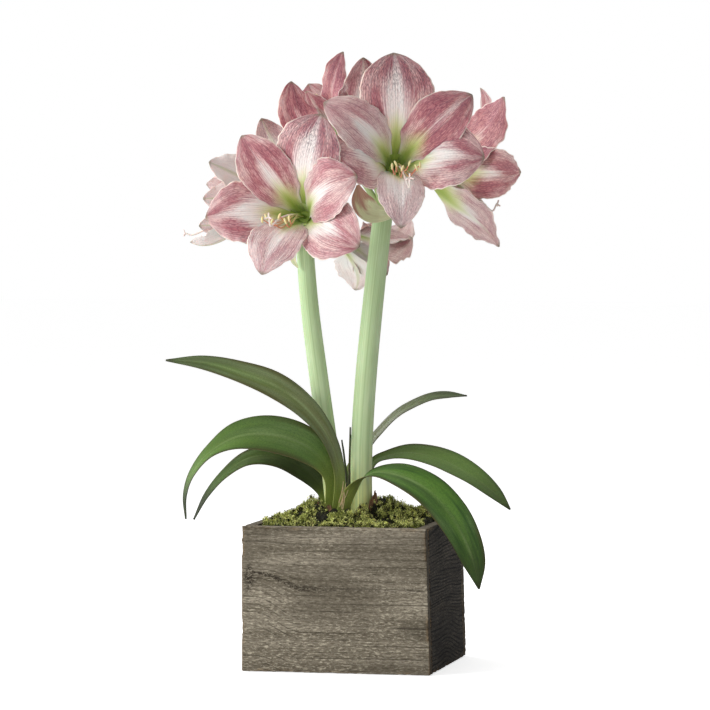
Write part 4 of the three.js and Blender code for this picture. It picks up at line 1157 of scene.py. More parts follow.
def papery_finish(name, light, dark, fleck, browned):
    material, tree, shader = new_material(name)
    (across, share, side), tone = place_and_tone(tree)
    ribs, stain = patterns(tree, put(tree, "CombineXYZ", across, share), PAPER_SIZE, [
        ((0.36364, 30, 1), 5, 0),
        ((4, 25, 1), 3, 0)])
    from_middle = put(tree, MINUS, share, 0.5)
    stain = put(tree, "ADD", stain, put(tree, TIMES, from_middle, tone[0]))
    base = put(tree, "Mix", put(tree, STEP, stain, *browned), colour(light), colour(dark))
    base = put(tree, "Mix", put(tree, STEP, ribs, 0.4, 0.7, 0.0, 0.6), base, colour(fleck))
    base = put(tree, "Mix", tone[1], base, colour("CDB98C"))
    dress(material, tree, shader, {
        "Base Color": base, "Roughness": 0.78, "Subsurface Weight": 0.1, "Subsurface Scale": 1 * MM,
        "Normal": put(tree, "Bump", Height=ribs, Distance=0.4 * MM, Strength=0.9)})
    return material


bract_paper = papery_finish("withered_papery_bract", "D3D8AE", "A8776B", "BDB48C", (0.45, 0.7))
tunic_paper = papery_finish("dry_papery_tunic", "7D5A3C", "4A3020", "A08058", (0.35, 0.65))

# %% [markdown]
# A bract is a small strap that lies against its stem. Where its curve would run into the stem, its
# points are pushed out to the stem's surface, as the real one is held off by it. A Shrinkwrap
# modifier does much the same, but it needs the stem's mesh, and a rule on plain points doesn't.

# %% The bracts
SPATHES = {
    "left": dict(side=-1, browned=-0.2, run=[
        (-60, -8.5, 452, 5, 70), (-65, -10.5, 440, 4, 70), (-65.5, -12, 427, 3, 70),
        (-61, -11.5, 419, 1, 70)]),
    "right": dict(side=-1, browned=0.8, run=[
        (36, -10, 476, 6, 84), (24, -10.6, 475, 9, 84), (13, -15, 479, 12, 80),
        (5, -19, 490, 11, 80), (2, -20, 506, 1.5, 80)]),
}
OFF_THE_STEM = 0.5


def clear_of_stem(points, run, room):
    """Pushes points that would lie inside a stem out to its surface."""
    line = along(run, np.linspace(0, 1, 200))
    top = run[-1][2]
    cleared = points.copy()
    for index, point in enumerate(points):
        nearest = line[np.argmin(np.abs(line[:, 2] - point[2]))]
        from_stem = point[:2] - nearest[:2]
        far, wanted = np.linalg.norm(from_stem), nearest[3] + room
        if point[2] <= top and far < wanted:
            cleared[index, :2] = nearest[:2] + from_stem / max(far, 1e-6) * wanted
    return cleared


for umbel, bract in SPATHES.items():
    store = Store()
    add_strap(store, bract, 0.8, 40, 18, (bract["browned"], 0, 0), gutter=0.35, stands=False)
    store.points = [clear_of_stem(block, SCAPES[umbel], OFF_THE_STEM) for block in store.points]
    finish_piece(store, "dry_bract_" + umbel, bract_paper, "spathe_" + umbel)

# %% [markdown]
# ### The bulb
#
# The bulb sits in the soil and only its neck shows. It is a turned shape: an outline of radius and
# height, carried round the axis. Round the neck stand scales of the tunic, seven broad ones, four
# flakes torn off them and a few straw-like fibres at the front.

# %% Sizes of the bulb and its tunic
BULB = {"right": -10, "back": 1, "neck": 158}
BULB_OUTLINE = [(20, 62), (46, 88), (48, 104), (41, 122), (33, 137), (32, 158)]
TUNIC = {"radius": 30.5, "sunk": 8, "half": 8, "thick": 0.7,
         "scales": [(-12, 21), (28, 13), (70, 12), (112, 12), (190, 12), (232, 10), (300, 9)]}
FLAKES = {"outside": 1.3, "scales": [(-34, 15), (-26, 19), (-17, 23), (-5, 20)]}
FIBRES = [((-17, -30, 168), (-10.5, -33, 193)), ((-15, -30.5, 166), (-13.5, -32, 189)),
          ((-16, -30, 170), (-8, -33, 186)), ((-14, -31, 165), (-12, -33.5, 183)),
          ((-18, -29, 172), (-13, -31, 195))]
STRAW = (0, 0.75, 0)
print("scales and flakes of the tunic:", len(TUNIC["scales"]) + len(FLAKES["scales"]))

# %% [markdown]
# A scale is a thin curved strip that stands on the bulb's neck. It narrows upwards, its top is torn
# in a wave, and it leans out a little as dry paper does. Each is told by where it stands round the
# neck, in degrees, and how tall it is.

# %% The bulb's skin, the scales and the fibres
def add_skin(store):
    outline = np.array([(0.01, BULB_OUTLINE[0][1])] + BULB_OUTLINE + [(0.01, BULB["neck"])])
    turns = np.linspace(0, FULL_TURN, 49)[:-1]
    ring = np.stack([np.cos(turns), np.sin(turns)], -1)
    flat = ring[None] * outline[:, :1, None] + (BULB["right"], BULB["back"])
    heights = np.broadcast_to(outline[:, 1:, None], (len(outline), len(turns), 1))
    places = np.broadcast_arrays(turns[None] * 4 / math.pi, outline[:, 1:] / BULB["neck"], 1.0)
    store.grid(np.concatenate([flat, heights], -1), np.stack(places, -1), (0, 0, 0), closed=True)


def add_scale(store, turn, tall, outside=0.0):
    angle = math.radians(turn)
    out = np.array((math.cos(angle), math.sin(angle), 0))
    side = np.array((-math.sin(angle), math.cos(angle), 0))
    share, beside = np.linspace(0, 1, 17)[:, None], np.linspace(-1, 1, 13)[None, :]
    reach = TUNIC["half"] * (1 - 0.75 * share**2)
    torn = 1 + 0.10 * np.sin(9 * beside + turn) * share
    bowed = 1.2 * np.sin(share * 3) - 0.02 * (beside * reach) ** 2 + 0.25 * np.sin(5 * beside + turn)
    far = TUNIC["radius"] - 0.4 + outside + bowed
    height = BULB["neck"] - TUNIC["sunk"] + (tall + TUNIC["sunk"]) * share * torn
    centre = np.array((BULB["right"], BULB["back"], 0))
    points = centre + out * far[..., None] + side * (beside * reach)[..., None]
    points = points + height[..., None] * (0, 0, 1.0)
    places = np.stack(np.broadcast_arrays(beside, share), -1)[:, ::-1]
    thickness = TUNIC["thick"] * np.ones_like(far)
    add_blade(store, points[:, ::-1], np.broadcast_to(out, points.shape), thickness, places, (0, 0, 0))


store = Store()
add_skin(store)
for turn, tall in TUNIC["scales"]:
    add_scale(store, turn, tall)
for turn, tall in FLAKES["scales"]:
    add_scale(store, turn, tall, FLAKES["outside"])
for foot, tip in FIBRES:
    middle = ((foot[0] + tip[0]) / 2 + 0.8, foot[1] - 0.6, (foot[2] + tip[2]) / 2)
    stalk(store, [(*foot, 0.45), (*middle, 0.4), (*tip, 0.25)], 6, 8, STRAW)
finish_piece(store, "bulb_with_tunic", tunic_paper, "bulb")

# %% [markdown]
# ## Moss
#
# Moss laid over the soil hides it and keeps it damp. Up close it is thousands of tiny upright
# shoots, each ringed with pointed leaves. Hair or particles would be the usual way, but those are
# lost when an object is saved as plain meshes. So real shoots are built in bulk: a bed in the
# mat's own shape carries them, denser and taller on round knobs and sparse at the edge, where dark
# soil shows through. First comes how high the mat lies: a mound towards the bulb with clumps.

# %% Sizes of the box and the moss, and how high the mat lies
BOX = {"side": 200, "height": 151.5, "wall": 12, "lean": 4.5}
INNER = BOX["side"] / 2 - BOX["wall"]
SOIL_TOP = 138
MOSS = {"front": 151, "back": 158, "mound": 12, "near": 0.34, "far": 0.86, "lump": 2.6, "hole": 33.5}
TUFTS = [(-60, 46, 14, 6), (25, 46, 9, 7), (70, 40, 12, 3)]  # right, back, size, rise


def hole_distance(x, y):
    """How far a place is from the bulb's axis."""
    cosine, sine = math.cos(PLANT_TURN), math.sin(PLANT_TURN)
    bulb_x = BULB["right"] * cosine - BULB["back"] * sine
    bulb_y = BULB["right"] * sine + BULB["back"] * cosine
    return np.hypot(x - bulb_x, y - bulb_y)


def moss_height(x, y):
    far = np.hypot(x + 10, (y - 10) * 0.9) / INNER
    bed = MOSS["front"] + (MOSS["back"] - MOSS["front"]) * ease(-60, 50, y)
    mound = MOSS["mound"] * (1 - ease(MOSS["near"], MOSS["far"], far))
    clumps = (np.sin(x * 0.27 + 1.3 * np.sin(y * 0.11)) * np.cos(y * 0.31 + 0.9 * np.sin(x * 0.13))
              + 0.6 * np.sin(x * 0.47 + y * 0.36 + 2))
    return bed + mound + MOSS["lump"] * clumps, clumps


def moss_lie(x, y):
    """The mat as it lies: lower at the back left, drawn up in tufts, heaped round the bulb's neck."""
    z, clumps = moss_height(x, y)
    z = z - 7 * ease(-56, -82, x) * ease(-45, 35, y)
    for at_x, at_y, size, rise in TUFTS:
        z = z + rise * np.exp(-((x - at_x) ** 2 + (y - at_y) ** 2) / size ** 2)
    heap = np.exp(-((hole_distance(x, y) - MOSS["hole"] - 1) / 3.5) ** 2) * ease(5, -15, y)
    return z + 5 * heap, clumps


print("the mat lies", round(float(moss_lie(60.0, 0.0)[0]), 1), "mm high at the right")

# %% [markdown]
# The bed is one fine grid over the whole mat, with a skirt down to the soil. It lies a little below
# the tops of the shoots, lower still at the walls, and drops inside the hole for the bulb.

# %% The moss bed
def add_skirt(store, points):
    edge = np.concatenate([points[0], points[1:, -1], points[-1, -2::-1], points[-2:0:-1, 0]])
    low = edge.copy()
    low[:, 2] = SOIL_TOP + GAP
    skirt = np.stack([low, edge])
    store.grid(skirt, np.zeros((*skirt.shape[:2], 3)), (0, 0, 0), closed=True)


def add_moss_bed(store):
    right = INNER - GAP - BOX["lean"] * MOSS["back"] / BOX["height"]
    x, y = np.meshgrid(np.linspace(-INNER + GAP, right, 121), np.linspace(-INNER + GAP, INNER - GAP, 121))
    z, clumps = moss_lie(x, y)
    z = z - 2.2 + 0.8 * np.sin(x * 1.1 + 2 * np.sin(y * 0.9)) * np.cos(y * 1.3)
    z = np.where(hole_distance(x, y) < MOSS["hole"], np.minimum(z, BULB["neck"] - 1), z)
    at_wall = (np.abs(x) > INNER - 4) | (np.abs(y) > INNER - 4)
    points = np.stack([x, y, np.where(at_wall, z - 2.5, z)], -1)
    store.grid(points, np.stack([x / INNER, y / INNER, clumps], -1), (0, 0, 0))
    add_skirt(store, points)


moss_store = Store()
add_moss_bed(moss_store)
print("points of the moss bed:", moss_store.count)

# %% [markdown]
# Shoots are strewn at random, and a place keeps its shoot the more surely the nearer it is to the
# middle of a knob. Few grow near the front wall. The dice always start from the same number, so the
# moss is the same each time.

# %% Where the shoots stand
KNOB, KNOBS, SHOOTS = 7.2, 270, 10500
dice = np.random.default_rng(11)


def nearness(x, y, knob_x, knob_y):
    """How near each place is to the middle of the nearest moss knob, 1 there and 0 between."""
    nearest = np.full(len(x), 1e9)
    for at_x, at_y in zip(knob_x, knob_y):
        nearest = np.minimum(nearest, np.hypot(x - at_x, y - at_y))
    return np.clip(1 - nearest / KNOB, 0, 1)


def shoot_places(count):
    """The point of each shoot on the mat, and how near it is to the middle of its knob."""
    right = INNER - 2 - BOX["lean"]
    x = dice.uniform(-INNER - 9, right, count * 3)
    y = dice.uniform(-INNER + 1.5, INNER - 1.5, count * 3)
    near = nearness(x, y, dice.uniform(-INNER, right, KNOBS), dice.uniform(-INNER, INNER, KNOBS))
    front_gap = (1 - ease(-86, -56, y)) * (0.35 + 0.4 * ease(20, -40, x))
    chance = 0.05 + 1.15 * ease(0.08, 0.5, near) - front_gap - 0.35 * (x < -INNER)
    outside_hole = hole_distance(x, y) >= MOSS["hole"] - 1.5
    keep = outside_hole & (dice.uniform(0, 1, count * 3) < chance)
    return [values[keep][:count] for values in (x, y, moss_lie(x, y)[0], near)]


x, y, z, near = shoot_places(SHOOTS)
number = len(x)
print("moss shoots:", number)

# %% [markdown]
# A shoot is a leaning stem with six pointed leaves. On a knob it stands taller and is better lit
# than between the knobs. At the left wall a few shoots creep over the board, and their feet lie on
# top of it. All shoots are worked out together, one array for each of their parts.

# %% The stems of the shoots
tall = dice.uniform(2.2, 5.0, number) * (0.5 + 0.9 * near)
lean = dice.normal(0, 0.35, (number, 2))
low = z - 4.6 + 4.4 * near
over_wall = x < 2 - INNER
foot = np.stack([x, y, np.where(over_wall, np.maximum(low, BOX["height"] - GAP), low)], -1)
tip = foot + np.stack([lean[:, 0] * tall, lean[:, 1] * tall, tall + 1.2], -1)
bright = np.clip(near + dice.normal(0.3, 0.3, number), 0, 1)
print("mean height of a shoot:", tall.mean().round(1), "mm")

# %% [markdown]
# Each leaf of a shoot is one pointed face with four corners: its foot, its tip and its two widest
# points. It keeps how high it grows on the shoot, a chance number for the odd straw-coloured leaf,
# and the light on its shoot.

# %% The leaves of the shoots
LEAVES_TO_A_SHOOT = 6
HALF_STEM = (0.2, 0, 0)
STEM_SHADE = (0.2, 0.3, 0.3)


def leaflet():
    """One leaf of every shoot: its four corners, and its place, chance number and light."""
    turn = dice.uniform(0, FULL_TURN, number)
    share = dice.uniform(0.15, 1.0, number)[:, None]
    start = foot + (tip - foot) * share * 0.9
    out = np.stack([np.cos(turn), np.sin(turn), dice.uniform(0.3, 1.3, number)], -1)
    end = start + unit(out) * dice.uniform(1.2, 2.8, number)[:, None]
    side = unit(np.cross(out, (0, 0, 1.0))) * dice.uniform(0.3, 0.65, number)[:, None]
    middle = (start + end) / 2
    told = np.stack([share[:, 0], dice.uniform(0, 1, number), bright], -1)
    return np.stack([start, middle + side, end, middle - side], 1), np.repeat(told, 4, axis=0)


quads = np.arange(number * 4).reshape(-1, 4)
for _ in range(LEAVES_TO_A_SHOOT):
    corners, told = leaflet()
    moss_store.add(corners, quads, told, (1, 0, 0))
narrow = np.multiply(HALF_STEM, 0.5)
stems = np.stack([foot - HALF_STEM, foot + HALF_STEM, tip + narrow, tip - narrow], 1)
moss_store.add(stems, quads, np.tile(STEM_SHADE, (number * 4, 1)), (1, 0, 0))
print("points of bed and shoots:", moss_store.count)

# %% [markdown]
# ### The finish of moss
#
# Moss is tiny living leaves with gaps between them, which gives the eye a soft, broken surface with
# almost no gloss: bright yellow-green tips over dark depths. Tufts of about 5 mm differ in light,
# patches of 26 mm in hue, and a few leaves are straw-coloured. The bed below is nearly black.

# %% The moss's finish and the moss itself
moss_green, tree, shader = new_material("living_moss")
place, tone = place_and_tone(tree)
spot = put(tree, "NewGeometry").outputs["Position"]
patches = put(tree, "TexNoise", spot, METRE[0] / 26.316, 3.0)
tufts = put(tree, "TexNoise", spot, METRE[0] / 4.7619, 2.0)
grain = put(tree, "TexNoise", spot, METRE[0] / 2.381, 4.0)
lit = put(tree, STEP, place[0], 0.05, 0.7)
lit = put(tree, TIMES, lit, put(tree, STEP, place[2], 0.1, 0.7, 0.2, 1.0))
lit = put(tree, TIMES, lit, put(tree, STEP, tufts, 0.43, 0.53, 0.0, 1.7))
shoot = put(tree, "Mix", put(tree, "MINIMUM", lit, 1.0), colour("20290C"), colour("F6FAA0"))
shoot = put(tree, "Mix", put(tree, STEP, patches, 0.48, 0.64, 0.0, 0.5), shoot, colour("A3AF58"))
shoot = put(tree, "Mix", put(tree, STEP, place[1], 0.86, 0.97, 0.0, 0.7), shoot, colour("CBB070"))
bed = put(tree, "Mix", put(tree, STEP, grain, 0.35, 0.65), colour("120F09"), colour("262712"))
dress(moss_green, tree, shader, {
    "Base Color": put(tree, "Mix", tone[0], bed, shoot), "Roughness": 0.85, "Specular IOR Level": 0.2,
    "Normal": put(tree, "Bump", Height=grain, Distance=1.2 * MM, Strength=0.8)})
finish_piece(moss_store, "moss_cushion", moss_green, "moss", turned=False)

# %% [markdown]
# ## Soil
#
# Potting soil is peat, rotted bark and fine crumbs, damp and dark, which gives the eye a rough
# matt surface. Its solid fills the box under the moss and keeps its shape, and only needs its
# finish: grains of 1.4 mm in two browns, and crumbs of about 4 mm as relief.

# %% The soil's finish
peat, tree, shader = new_material("potting_soil")
spot = put(tree, "NewGeometry").outputs["Position"]
crumbs = put(tree, "TexVoronoi", spot, METRE[0] / 3.8462)
grain = put(tree, "TexNoise", spot, METRE[0] / 1.4286, 5.0)
base = put(tree, "Mix", put(tree, STEP, grain, 0.35, 0.65), colour("2B1E15"), colour("4A3626"))
dress(peat, tree, shader, {
    "Base Color": base, "Roughness": 0.95,
    "Normal": put(tree, "Bump", Height=put(tree, "ADD", crumbs, grain), Distance=1.5 * MM, Strength=0.9)})
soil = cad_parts["soil"]
soil.data.materials.clear()
soil.data.materials.append(peat)

# %% [markdown]
# ## Weathered boards
#
# The box is softwood that was sawn, brushed by wind and rain and greyed by the sun. The soft spring
# wood has worn away and the harder autumn rings stand up as ridges, which gives the eye a dry,
# silvery, furrowed surface with no gloss. So the grain is drawn twice, once as colour and once as
# relief. All patterns are noise that is stretched along the board. Real fibres are a few hundredths
# of a millimetre wide, and here the finest are 1.1 mm, so that they show.

# %% The sizes of the grain
WOOD_PATTERNS = {  # length, height and depth of a feature in mm, detail, warp
    "wander": ((285.71, 83.333, 83.333), 2, 0),  # how the rings rise and fall
    "fibre": ((16.667, 1.1111, 1.1111), 6, 0.2),
    "brushed": ((5.8824, 1.4706, 1.4706), 4, 0.4),  # ends of fibres that stand up
    "flecks": ((3.4483, 1.5152, 1.5152), 3, 0.9),
    "streak": ((250, 11.111, 11.111), 4, 0),
    "patch": ((111.11, 45.455, 45.455), 4, 0),
    "broken": ((71.429, 6.25, 6.25), 3, 0),  # where a ring shows and where it is worn off
    "drying": ((166.67, 6.6667, 6.6667), 3, 0.4),  # small drying cracks
    "wide": ((142.86, 62.5, 62.5), 2, 0.5)}
FRONT = {"axis": 0, "pale": "CBC2AC", "light": "9D9483", "dark": "6F6758", "ring": "474034",
         "ring_gap": 7.2, "ring_shape": (0.78, 1.0), "ring_strength": 0.65, "sway": 14,
         "knot": {"at": -86, "up": 88, "rise": 18, "run": 50}, "split_height": 45}
# The side boards' colours are the front boards' wood in painted shade: far darker, because the box's sides
# look away from the key lamp. Their rings, knot and split are their own.
SHADED_SIDE = {"axis": 1, "pale": "665E53", "light": "48423A", "dark": "2D2924", "ring": "0B0907",
        "ring_gap": 4.2, "ring_shape": (-0.2, 0.9), "ring_strength": 0.95, "sway": 45,
        "knot": {"at": -20, "up": 50, "rise": 12, "run": 90}, "split_height": 60}
print("patterns in the wood:", len(WOOD_PATTERNS))

# %% [markdown]
# A board's grain runs along it, so the front and side boards read different axes as their length.
# The rings lie level and wander a little. Where a branch stood they sweep up to it. A sine of the
# bent height then draws them, and where the wood is worn they break off.

# %% Wood: where, and the rings
def board_place(tree, axis):
    """How far along the board a place is, how high, and both with the depth as one vector."""
    parts = put(tree, "SeparateXYZ", put(tree, "TexCoord").outputs["Object"])
    run, height = parts.outputs[axis], parts.outputs[2]
    return run, height, put(tree, "CombineXYZ", run, height, parts.outputs[1 - axis])


def bent_height(tree, wood, run, height, wander):
    """The height that a place had before the rings were bent."""
    knot = wood["knot"]
    level = put(tree, "ADD", height, put(tree, TIMES, wander, wood["sway"] * MM))
    beside = put(tree, STEP, run, knot["at"] * MM, (knot["at"] + knot["run"]) * MM, 1.0, 0.0)
    lowest, highest = knot["up"] - 0.2 * knot["rise"], knot["up"] + 2.5 * knot["rise"]
    above = put(tree, STEP, height, lowest * MM, highest * MM, 1.0, 0.2)
    swept = put(tree, TIMES, put(tree, TIMES, beside, above), knot["rise"] * MM)
    return put(tree, MINUS, level, swept)


def rings_of(tree, wood, level, broken):
    wave = put(tree, "SINE", put(tree, TIMES, level, FULL_TURN / (wood["ring_gap"] * MM)))
    shown = put(tree, STEP, broken, 0.4, 0.6, 0.25, 1.0)
    return put(tree, TIMES, put(tree, STEP, wave, *wood["ring_shape"]), shown)


print("rings on the front board:", round(BOX["height"] / FRONT["ring_gap"]))

# %% [markdown]
# The colour is laid on from coarse to fine: broad streaks, darker patches, pale fibres that stand
# up and catch the sun, dark gaps between them, and the rings over all.

# %% Wood: the grey of the weathered grain
def weathered(tree, wood, noise, rings):
    pale, light, dark, ring = (colour(wood[name]) for name in ("pale", "light", "dark", "ring"))
    worn = put(tree, STEP, noise["wide"], 0.36, 0.6, 0.35, 1.0)
    raised = put(tree, TIMES, put(tree, STEP, noise["brushed"], 0.52, 0.7, 0.0, 0.65), worn)
    bleached = put(tree, TIMES, put(tree, STEP, noise["flecks"], 0.56, 0.66, 0.0, 0.55), worn)
    base = put(tree, "Mix", put(tree, STEP, noise["streak"], 0.3, 0.7), dark, light)
    base = put(tree, "Mix", put(tree, STEP, noise["patch"], 0.4, 0.66, 0.0, 0.6), base, dark)
    base = put(tree, "Mix", put(tree, STEP, noise["wide"], 0.56, 0.36, 0.0, 0.4), base, ring)
    base = put(tree, "Mix", raised, base, pale)
    base = put(tree, "Mix", bleached, base, pale)
    for name, starts, full, strength in (("brushed", 0.46, 0.34, 0.5), ("flecks", 0.44, 0.36, 0.5),
                                         ("fibre", 0.5, 0.36, 0.35)):
        base = put(tree, "Mix", put(tree, STEP, noise[name], starts, full, 0.0, strength), base, ring)
    return put(tree, "Mix", put(tree, TIMES, rings, wood["ring_strength"]), base, ring)


print("tones of the front board:", *(FRONT[name] for name in ("pale", "light", "dark", "ring")))

# %% [markdown]
# A knot is the root of a branch. Round it the wood is dense, resinous and dark, and a dark band
# runs from it along the bent rings. Both show as a crowd of dark flecks. Small cracks open as the
# wood dries.

# %% Wood: the knot and the small cracks
def knotted(tree, wood, base, run, height, level, flecks):
    at, up, run_out = (wood["knot"][name] * MM for name in ("at", "up", "run"))
    above_band = put(tree, MINUS, put(tree, MINUS, level, up), 0.5 * wood["sway"] * MM)
    near_band = put(tree, STEP, put(tree, "ABSOLUTE", above_band), 1 * MM, 4.5 * MM, 1.0, 0.0)
    fading = put(tree, STEP, run, at + 0.6 * run_out, at + 2.2 * run_out, 1.0, 0.3)
    band = put(tree, TIMES, near_band, fading)
    beside = put(tree, "ABSOLUTE", put(tree, MINUS, run, at - 6 * MM))
    above = put(tree, "ABSOLUTE", put(tree, MINUS, height, up + 10 * MM))
    from_knot = put(tree, "ADD", beside, put(tree, TIMES, above, 0.6))
    knotty = put(tree, "MAXIMUM", band, put(tree, STEP, from_knot, 4 * MM, 14 * MM, 1.0, 0.0))
    specked = put(tree, TIMES, knotty, put(tree, STEP, flecks, 0.56, 0.44, 0.15, 0.9))
    return put(tree, "Mix", specked, base, colour("2A241C"))


def cracked(tree, base, drying):
    crack = put(tree, STEP, drying, 0.72, 0.77)
    return put(tree, "Mix", put(tree, TIMES, crack, 0.8), base, colour("1A1510")), crack


print("the knot stands", FRONT["knot"]["up"], "mm high on the front board")

# %% [markdown]
# One long drying crack starts at one end of a board and runs in, a little bent by the grain.
# It is under 2 mm wide, and the wood on both sides of it is damp and dark.

# %% Wood: the long drying crack
CRACK = {"core": 0.2, "half": 0.9, "starts": 50, "full": 70}
DAMP = {"core": 2, "half": 16, "starts": 60, "full": 85}


def split_open(tree, wood, base, run, height, wander):
    above = put(tree, MINUS, height, wood["split_height"] * MM)
    off_line = put(tree, "ABSOLUTE", put(tree, MINUS, above, put(tree, TIMES, wander, 4 * MM)))
    for size, strength, tint in ((CRACK, 0.8, "1A1510"), (DAMP, 0.45, "3E382C")):
        near = put(tree, STEP, off_line, size["core"] * MM, size["half"] * MM, strength, 0.0)
        reached = put(tree, STEP, run, size["starts"] * MM, size["full"] * MM)
        base = put(tree, "Mix", put(tree, TIMES, near, reached), base, colour(tint))
    return base


print("the crack is", 2 * CRACK["half"], "mm wide at most")

# %% [markdown]
# At the ends of a board and where an edge has chipped, fresher brown wood shows. Faces that look
# along a board are painted darker: in part sawn ends that drink water and weather dark, in part
# painted shade on the box's sides. Faces that look at the sky are painted lighter, as painted light
# from above.

# %% Wood: ends, chips and edges
RAW = {"starts": 97.5, "full": 99.5}  # from the middle of the board


def ends_chips_and_painted_light(tree, wood, base, run, brushed):
    from_middle = put(tree, "ABSOLUTE", run)
    raw = put(tree, STEP, from_middle, RAW["starts"] * MM, RAW["full"] * MM, 0.0, 0.55)
    base = put(tree, "Mix", raw, base, colour("7C6850"))
    chipped = put(tree, "SeparateXYZ", put(tree, "Attribute", attribute_name="place").outputs["Vector"])
    chipped = put(tree, TIMES, chipped, put(tree, STEP, brushed, 0.4, 0.6, 0.2, 0.8))
    base = put(tree, "Mix", chipped, base, colour("8C7252"))
    facing = put(tree, "SeparateXYZ", put(tree, "NewGeometry").outputs["True Normal"])
    # Painted shade, in part also water-darkened end grain: faces that look along the board, which on the
    # front and back boards are the ends on the box's sides, are darkened.
    end_grain_and_shade = put(tree, "ABSOLUTE", facing.outputs[wood["axis"]])
    base = put(tree, "Mix", put(tree, STEP, end_grain_and_shade, 0.6, 0.9, 0.0, 0.75), base, colour("352F28"))
    # Painted light: faces that look up are lightened, as light falling from above.
    painted_top_light = put(tree, STEP, facing.outputs[2], 0.5, 0.9, 0.0, 0.6)
    return put(tree, "Mix", painted_top_light, base, colour("857C6C"))


print("raw wood shows over the last", BOX["side"] / 2 - RAW["starts"], "mm of a board")

# %% [markdown]
# Last the relief. Fibres and raised ends stand up, rings and cracks are sunk, by about a
# millimetre in all. Dry wood is as matt as a surface can be, so the roughness is 0.9 and the
# reflection is held low.

# %% The two wood finishes
def furrows(tree, noise, rings, crack):
    relief = put(tree, TIMES, noise["fibre"], 0.9)
    relief = put(tree, MINUS, relief, put(tree, TIMES, rings, 0.4))
    relief = put(tree, "ADD", relief, put(tree, TIMES, noise["brushed"], 1.0))
    relief = put(tree, "ADD", relief, put(tree, TIMES, noise["streak"], 0.6))
    return put(tree, MINUS, relief, crack)


def wood_finish(name, wood):
    material, tree, shader = new_material(name)
    run, height, where = board_place(tree, wood["axis"])
    noise = dict(zip(WOOD_PATTERNS, patterns(tree, where, METRE, WOOD_PATTERNS.values())))
    level = bent_height(tree, wood, run, height, noise["wander"])
    rings = rings_of(tree, wood, level, noise["broken"])
    base = weathered(tree, wood, noise, rings)
    base = knotted(tree, wood, base, run, height, level, noise["flecks"])
    base, crack = cracked(tree, base, noise["drying"])
    base = split_open(tree, wood, base, run, height, noise["wander"])
    base = ends_chips_and_painted_light(tree, wood, base, run, noise["brushed"])
    relief = furrows(tree, noise, rings, crack)
    dress(material, tree, shader, {
        "Base Color": base, "Roughness": 0.9, "Specular IOR Level": 0.2,
        "Normal": put(tree, "Bump", Height=relief, Distance=1.3 * MM, Strength=1.0)})
    return material


front_wood = wood_finish("weathered_softwood_front", FRONT)
# The side finish paints the shade of the box's sides into the wood's colours.
shaded_side_wood = wood_finish("weathered_softwood_side_in_painted_shade", SHADED_SIDE)
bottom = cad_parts["board_bottom"]
bottom.data.materials.clear()
bottom.data.materials.append(front_wood)

# %% [markdown]
# ### Worn edges
#
# Sawn edges never stay crisp out of doors: they round over and chip where the grain runs out. A
# bevel modifier would round them evenly, like furniture. So each wall is laid out again as six
# grids. Every point near an edge is drawn onto a small arc, and a sum of slow and quick waves then
# bites into it. How deep a bite goes is kept for the finish, which shows fresher wood there.

# %% How an edge wears
EDGE, BITE, EDGE_REACH, FACE_STEP = 1.3, 1.3, 4.0, 1.9
WAVES = 9
bites = dice.normal(0, 1, (WAVES, 3)) * np.geomspace(0.12, 1.3, WAVES)[:, None]
starts = dice.uniform(0, FULL_TURN, WAVES)


def wear(points, low, high):
    """The points with the edges rounded and bitten, and how deep each bite is."""
    inside = np.clip(points, low + EDGE, high - EDGE)
    out = points - inside
    far = np.linalg.norm(out, axis=-1, keepdims=True)
    out = out / np.maximum(far, 1e-9)
    to_edge = np.sort(np.minimum(points - low, high - points), axis=-1)[..., 1:2]
    waves_sum = np.sin(points @ bites.T + starts).sum(-1, keepdims=True) / 3
    bite = BITE * np.clip(waves_sum, 0, 1) * (1 - ease(0.5, EDGE_REACH, to_edge))
    return inside + out * (np.minimum(far, EDGE) - bite - 0.12 * np.abs(waves_sum)), bite / BITE


print("the quickest wave along an edge is", round(FULL_TURN / np.abs(bites).max(), 1), "mm long")

# %% [markdown]
# The grids need many lines near the edges, where the wood is rounded, and few on the flat. The
# right-hand wall leans in at the top, so each point moves left by a share of the lean that grows
# with its height. The front and back boards follow it at their right end only.

# %% The walls with worn edges
NEAR_EDGE = np.array([0, 0.4, 0.85, 1.4])
FIRST_FLAT_LINE = 2.6


def lines_across(low, high):
    count = max(3, int((high - low) / FACE_STEP))
    flat = np.linspace(low + FIRST_FLAT_LINE, high - FIRST_FLAT_LINE, count)
    return np.concatenate([low + NEAR_EDGE, flat, (high - NEAR_EDGE)[::-1]])


def leaned(points, low, high, lean_left, lean_right):
    share = (points[..., 0] - low[0]) / (high[0] - low[0])
    lean = BOX["lean"] * points[..., 2] / BOX["height"] * (lean_left + (lean_right - lean_left) * share)
    return points - np.stack([lean, 0 * lean, 0 * lean], -1)


def worn_wall(name, material, low, high, lean_left, lean_right):
    low, high = np.asarray(low, float), np.asarray(high, float)
    lines = [lines_across(*ends) for ends in zip(low, high)]
    store = Store()
    for axis in range(3):
        second, third = (axis + 1) % 3, (axis + 2) % 3
        for end, flip in ((low[axis], False), (high[axis], True)):
            points = np.empty((len(lines[second]), len(lines[third]), 3))
            points[..., axis] = end
            points[..., second] = lines[second][:, None]
            points[..., third] = lines[third][None, :]
            points, depth = wear(points, low, high)
            points = leaned(points, low, high, lean_left, lean_right)
            store.grid(points, np.concatenate([depth, 0 * points[..., :2]], -1), (0, 0, 0), flip=flip)
    finish_piece(store, "worn_" + name, material, name, turned=False)


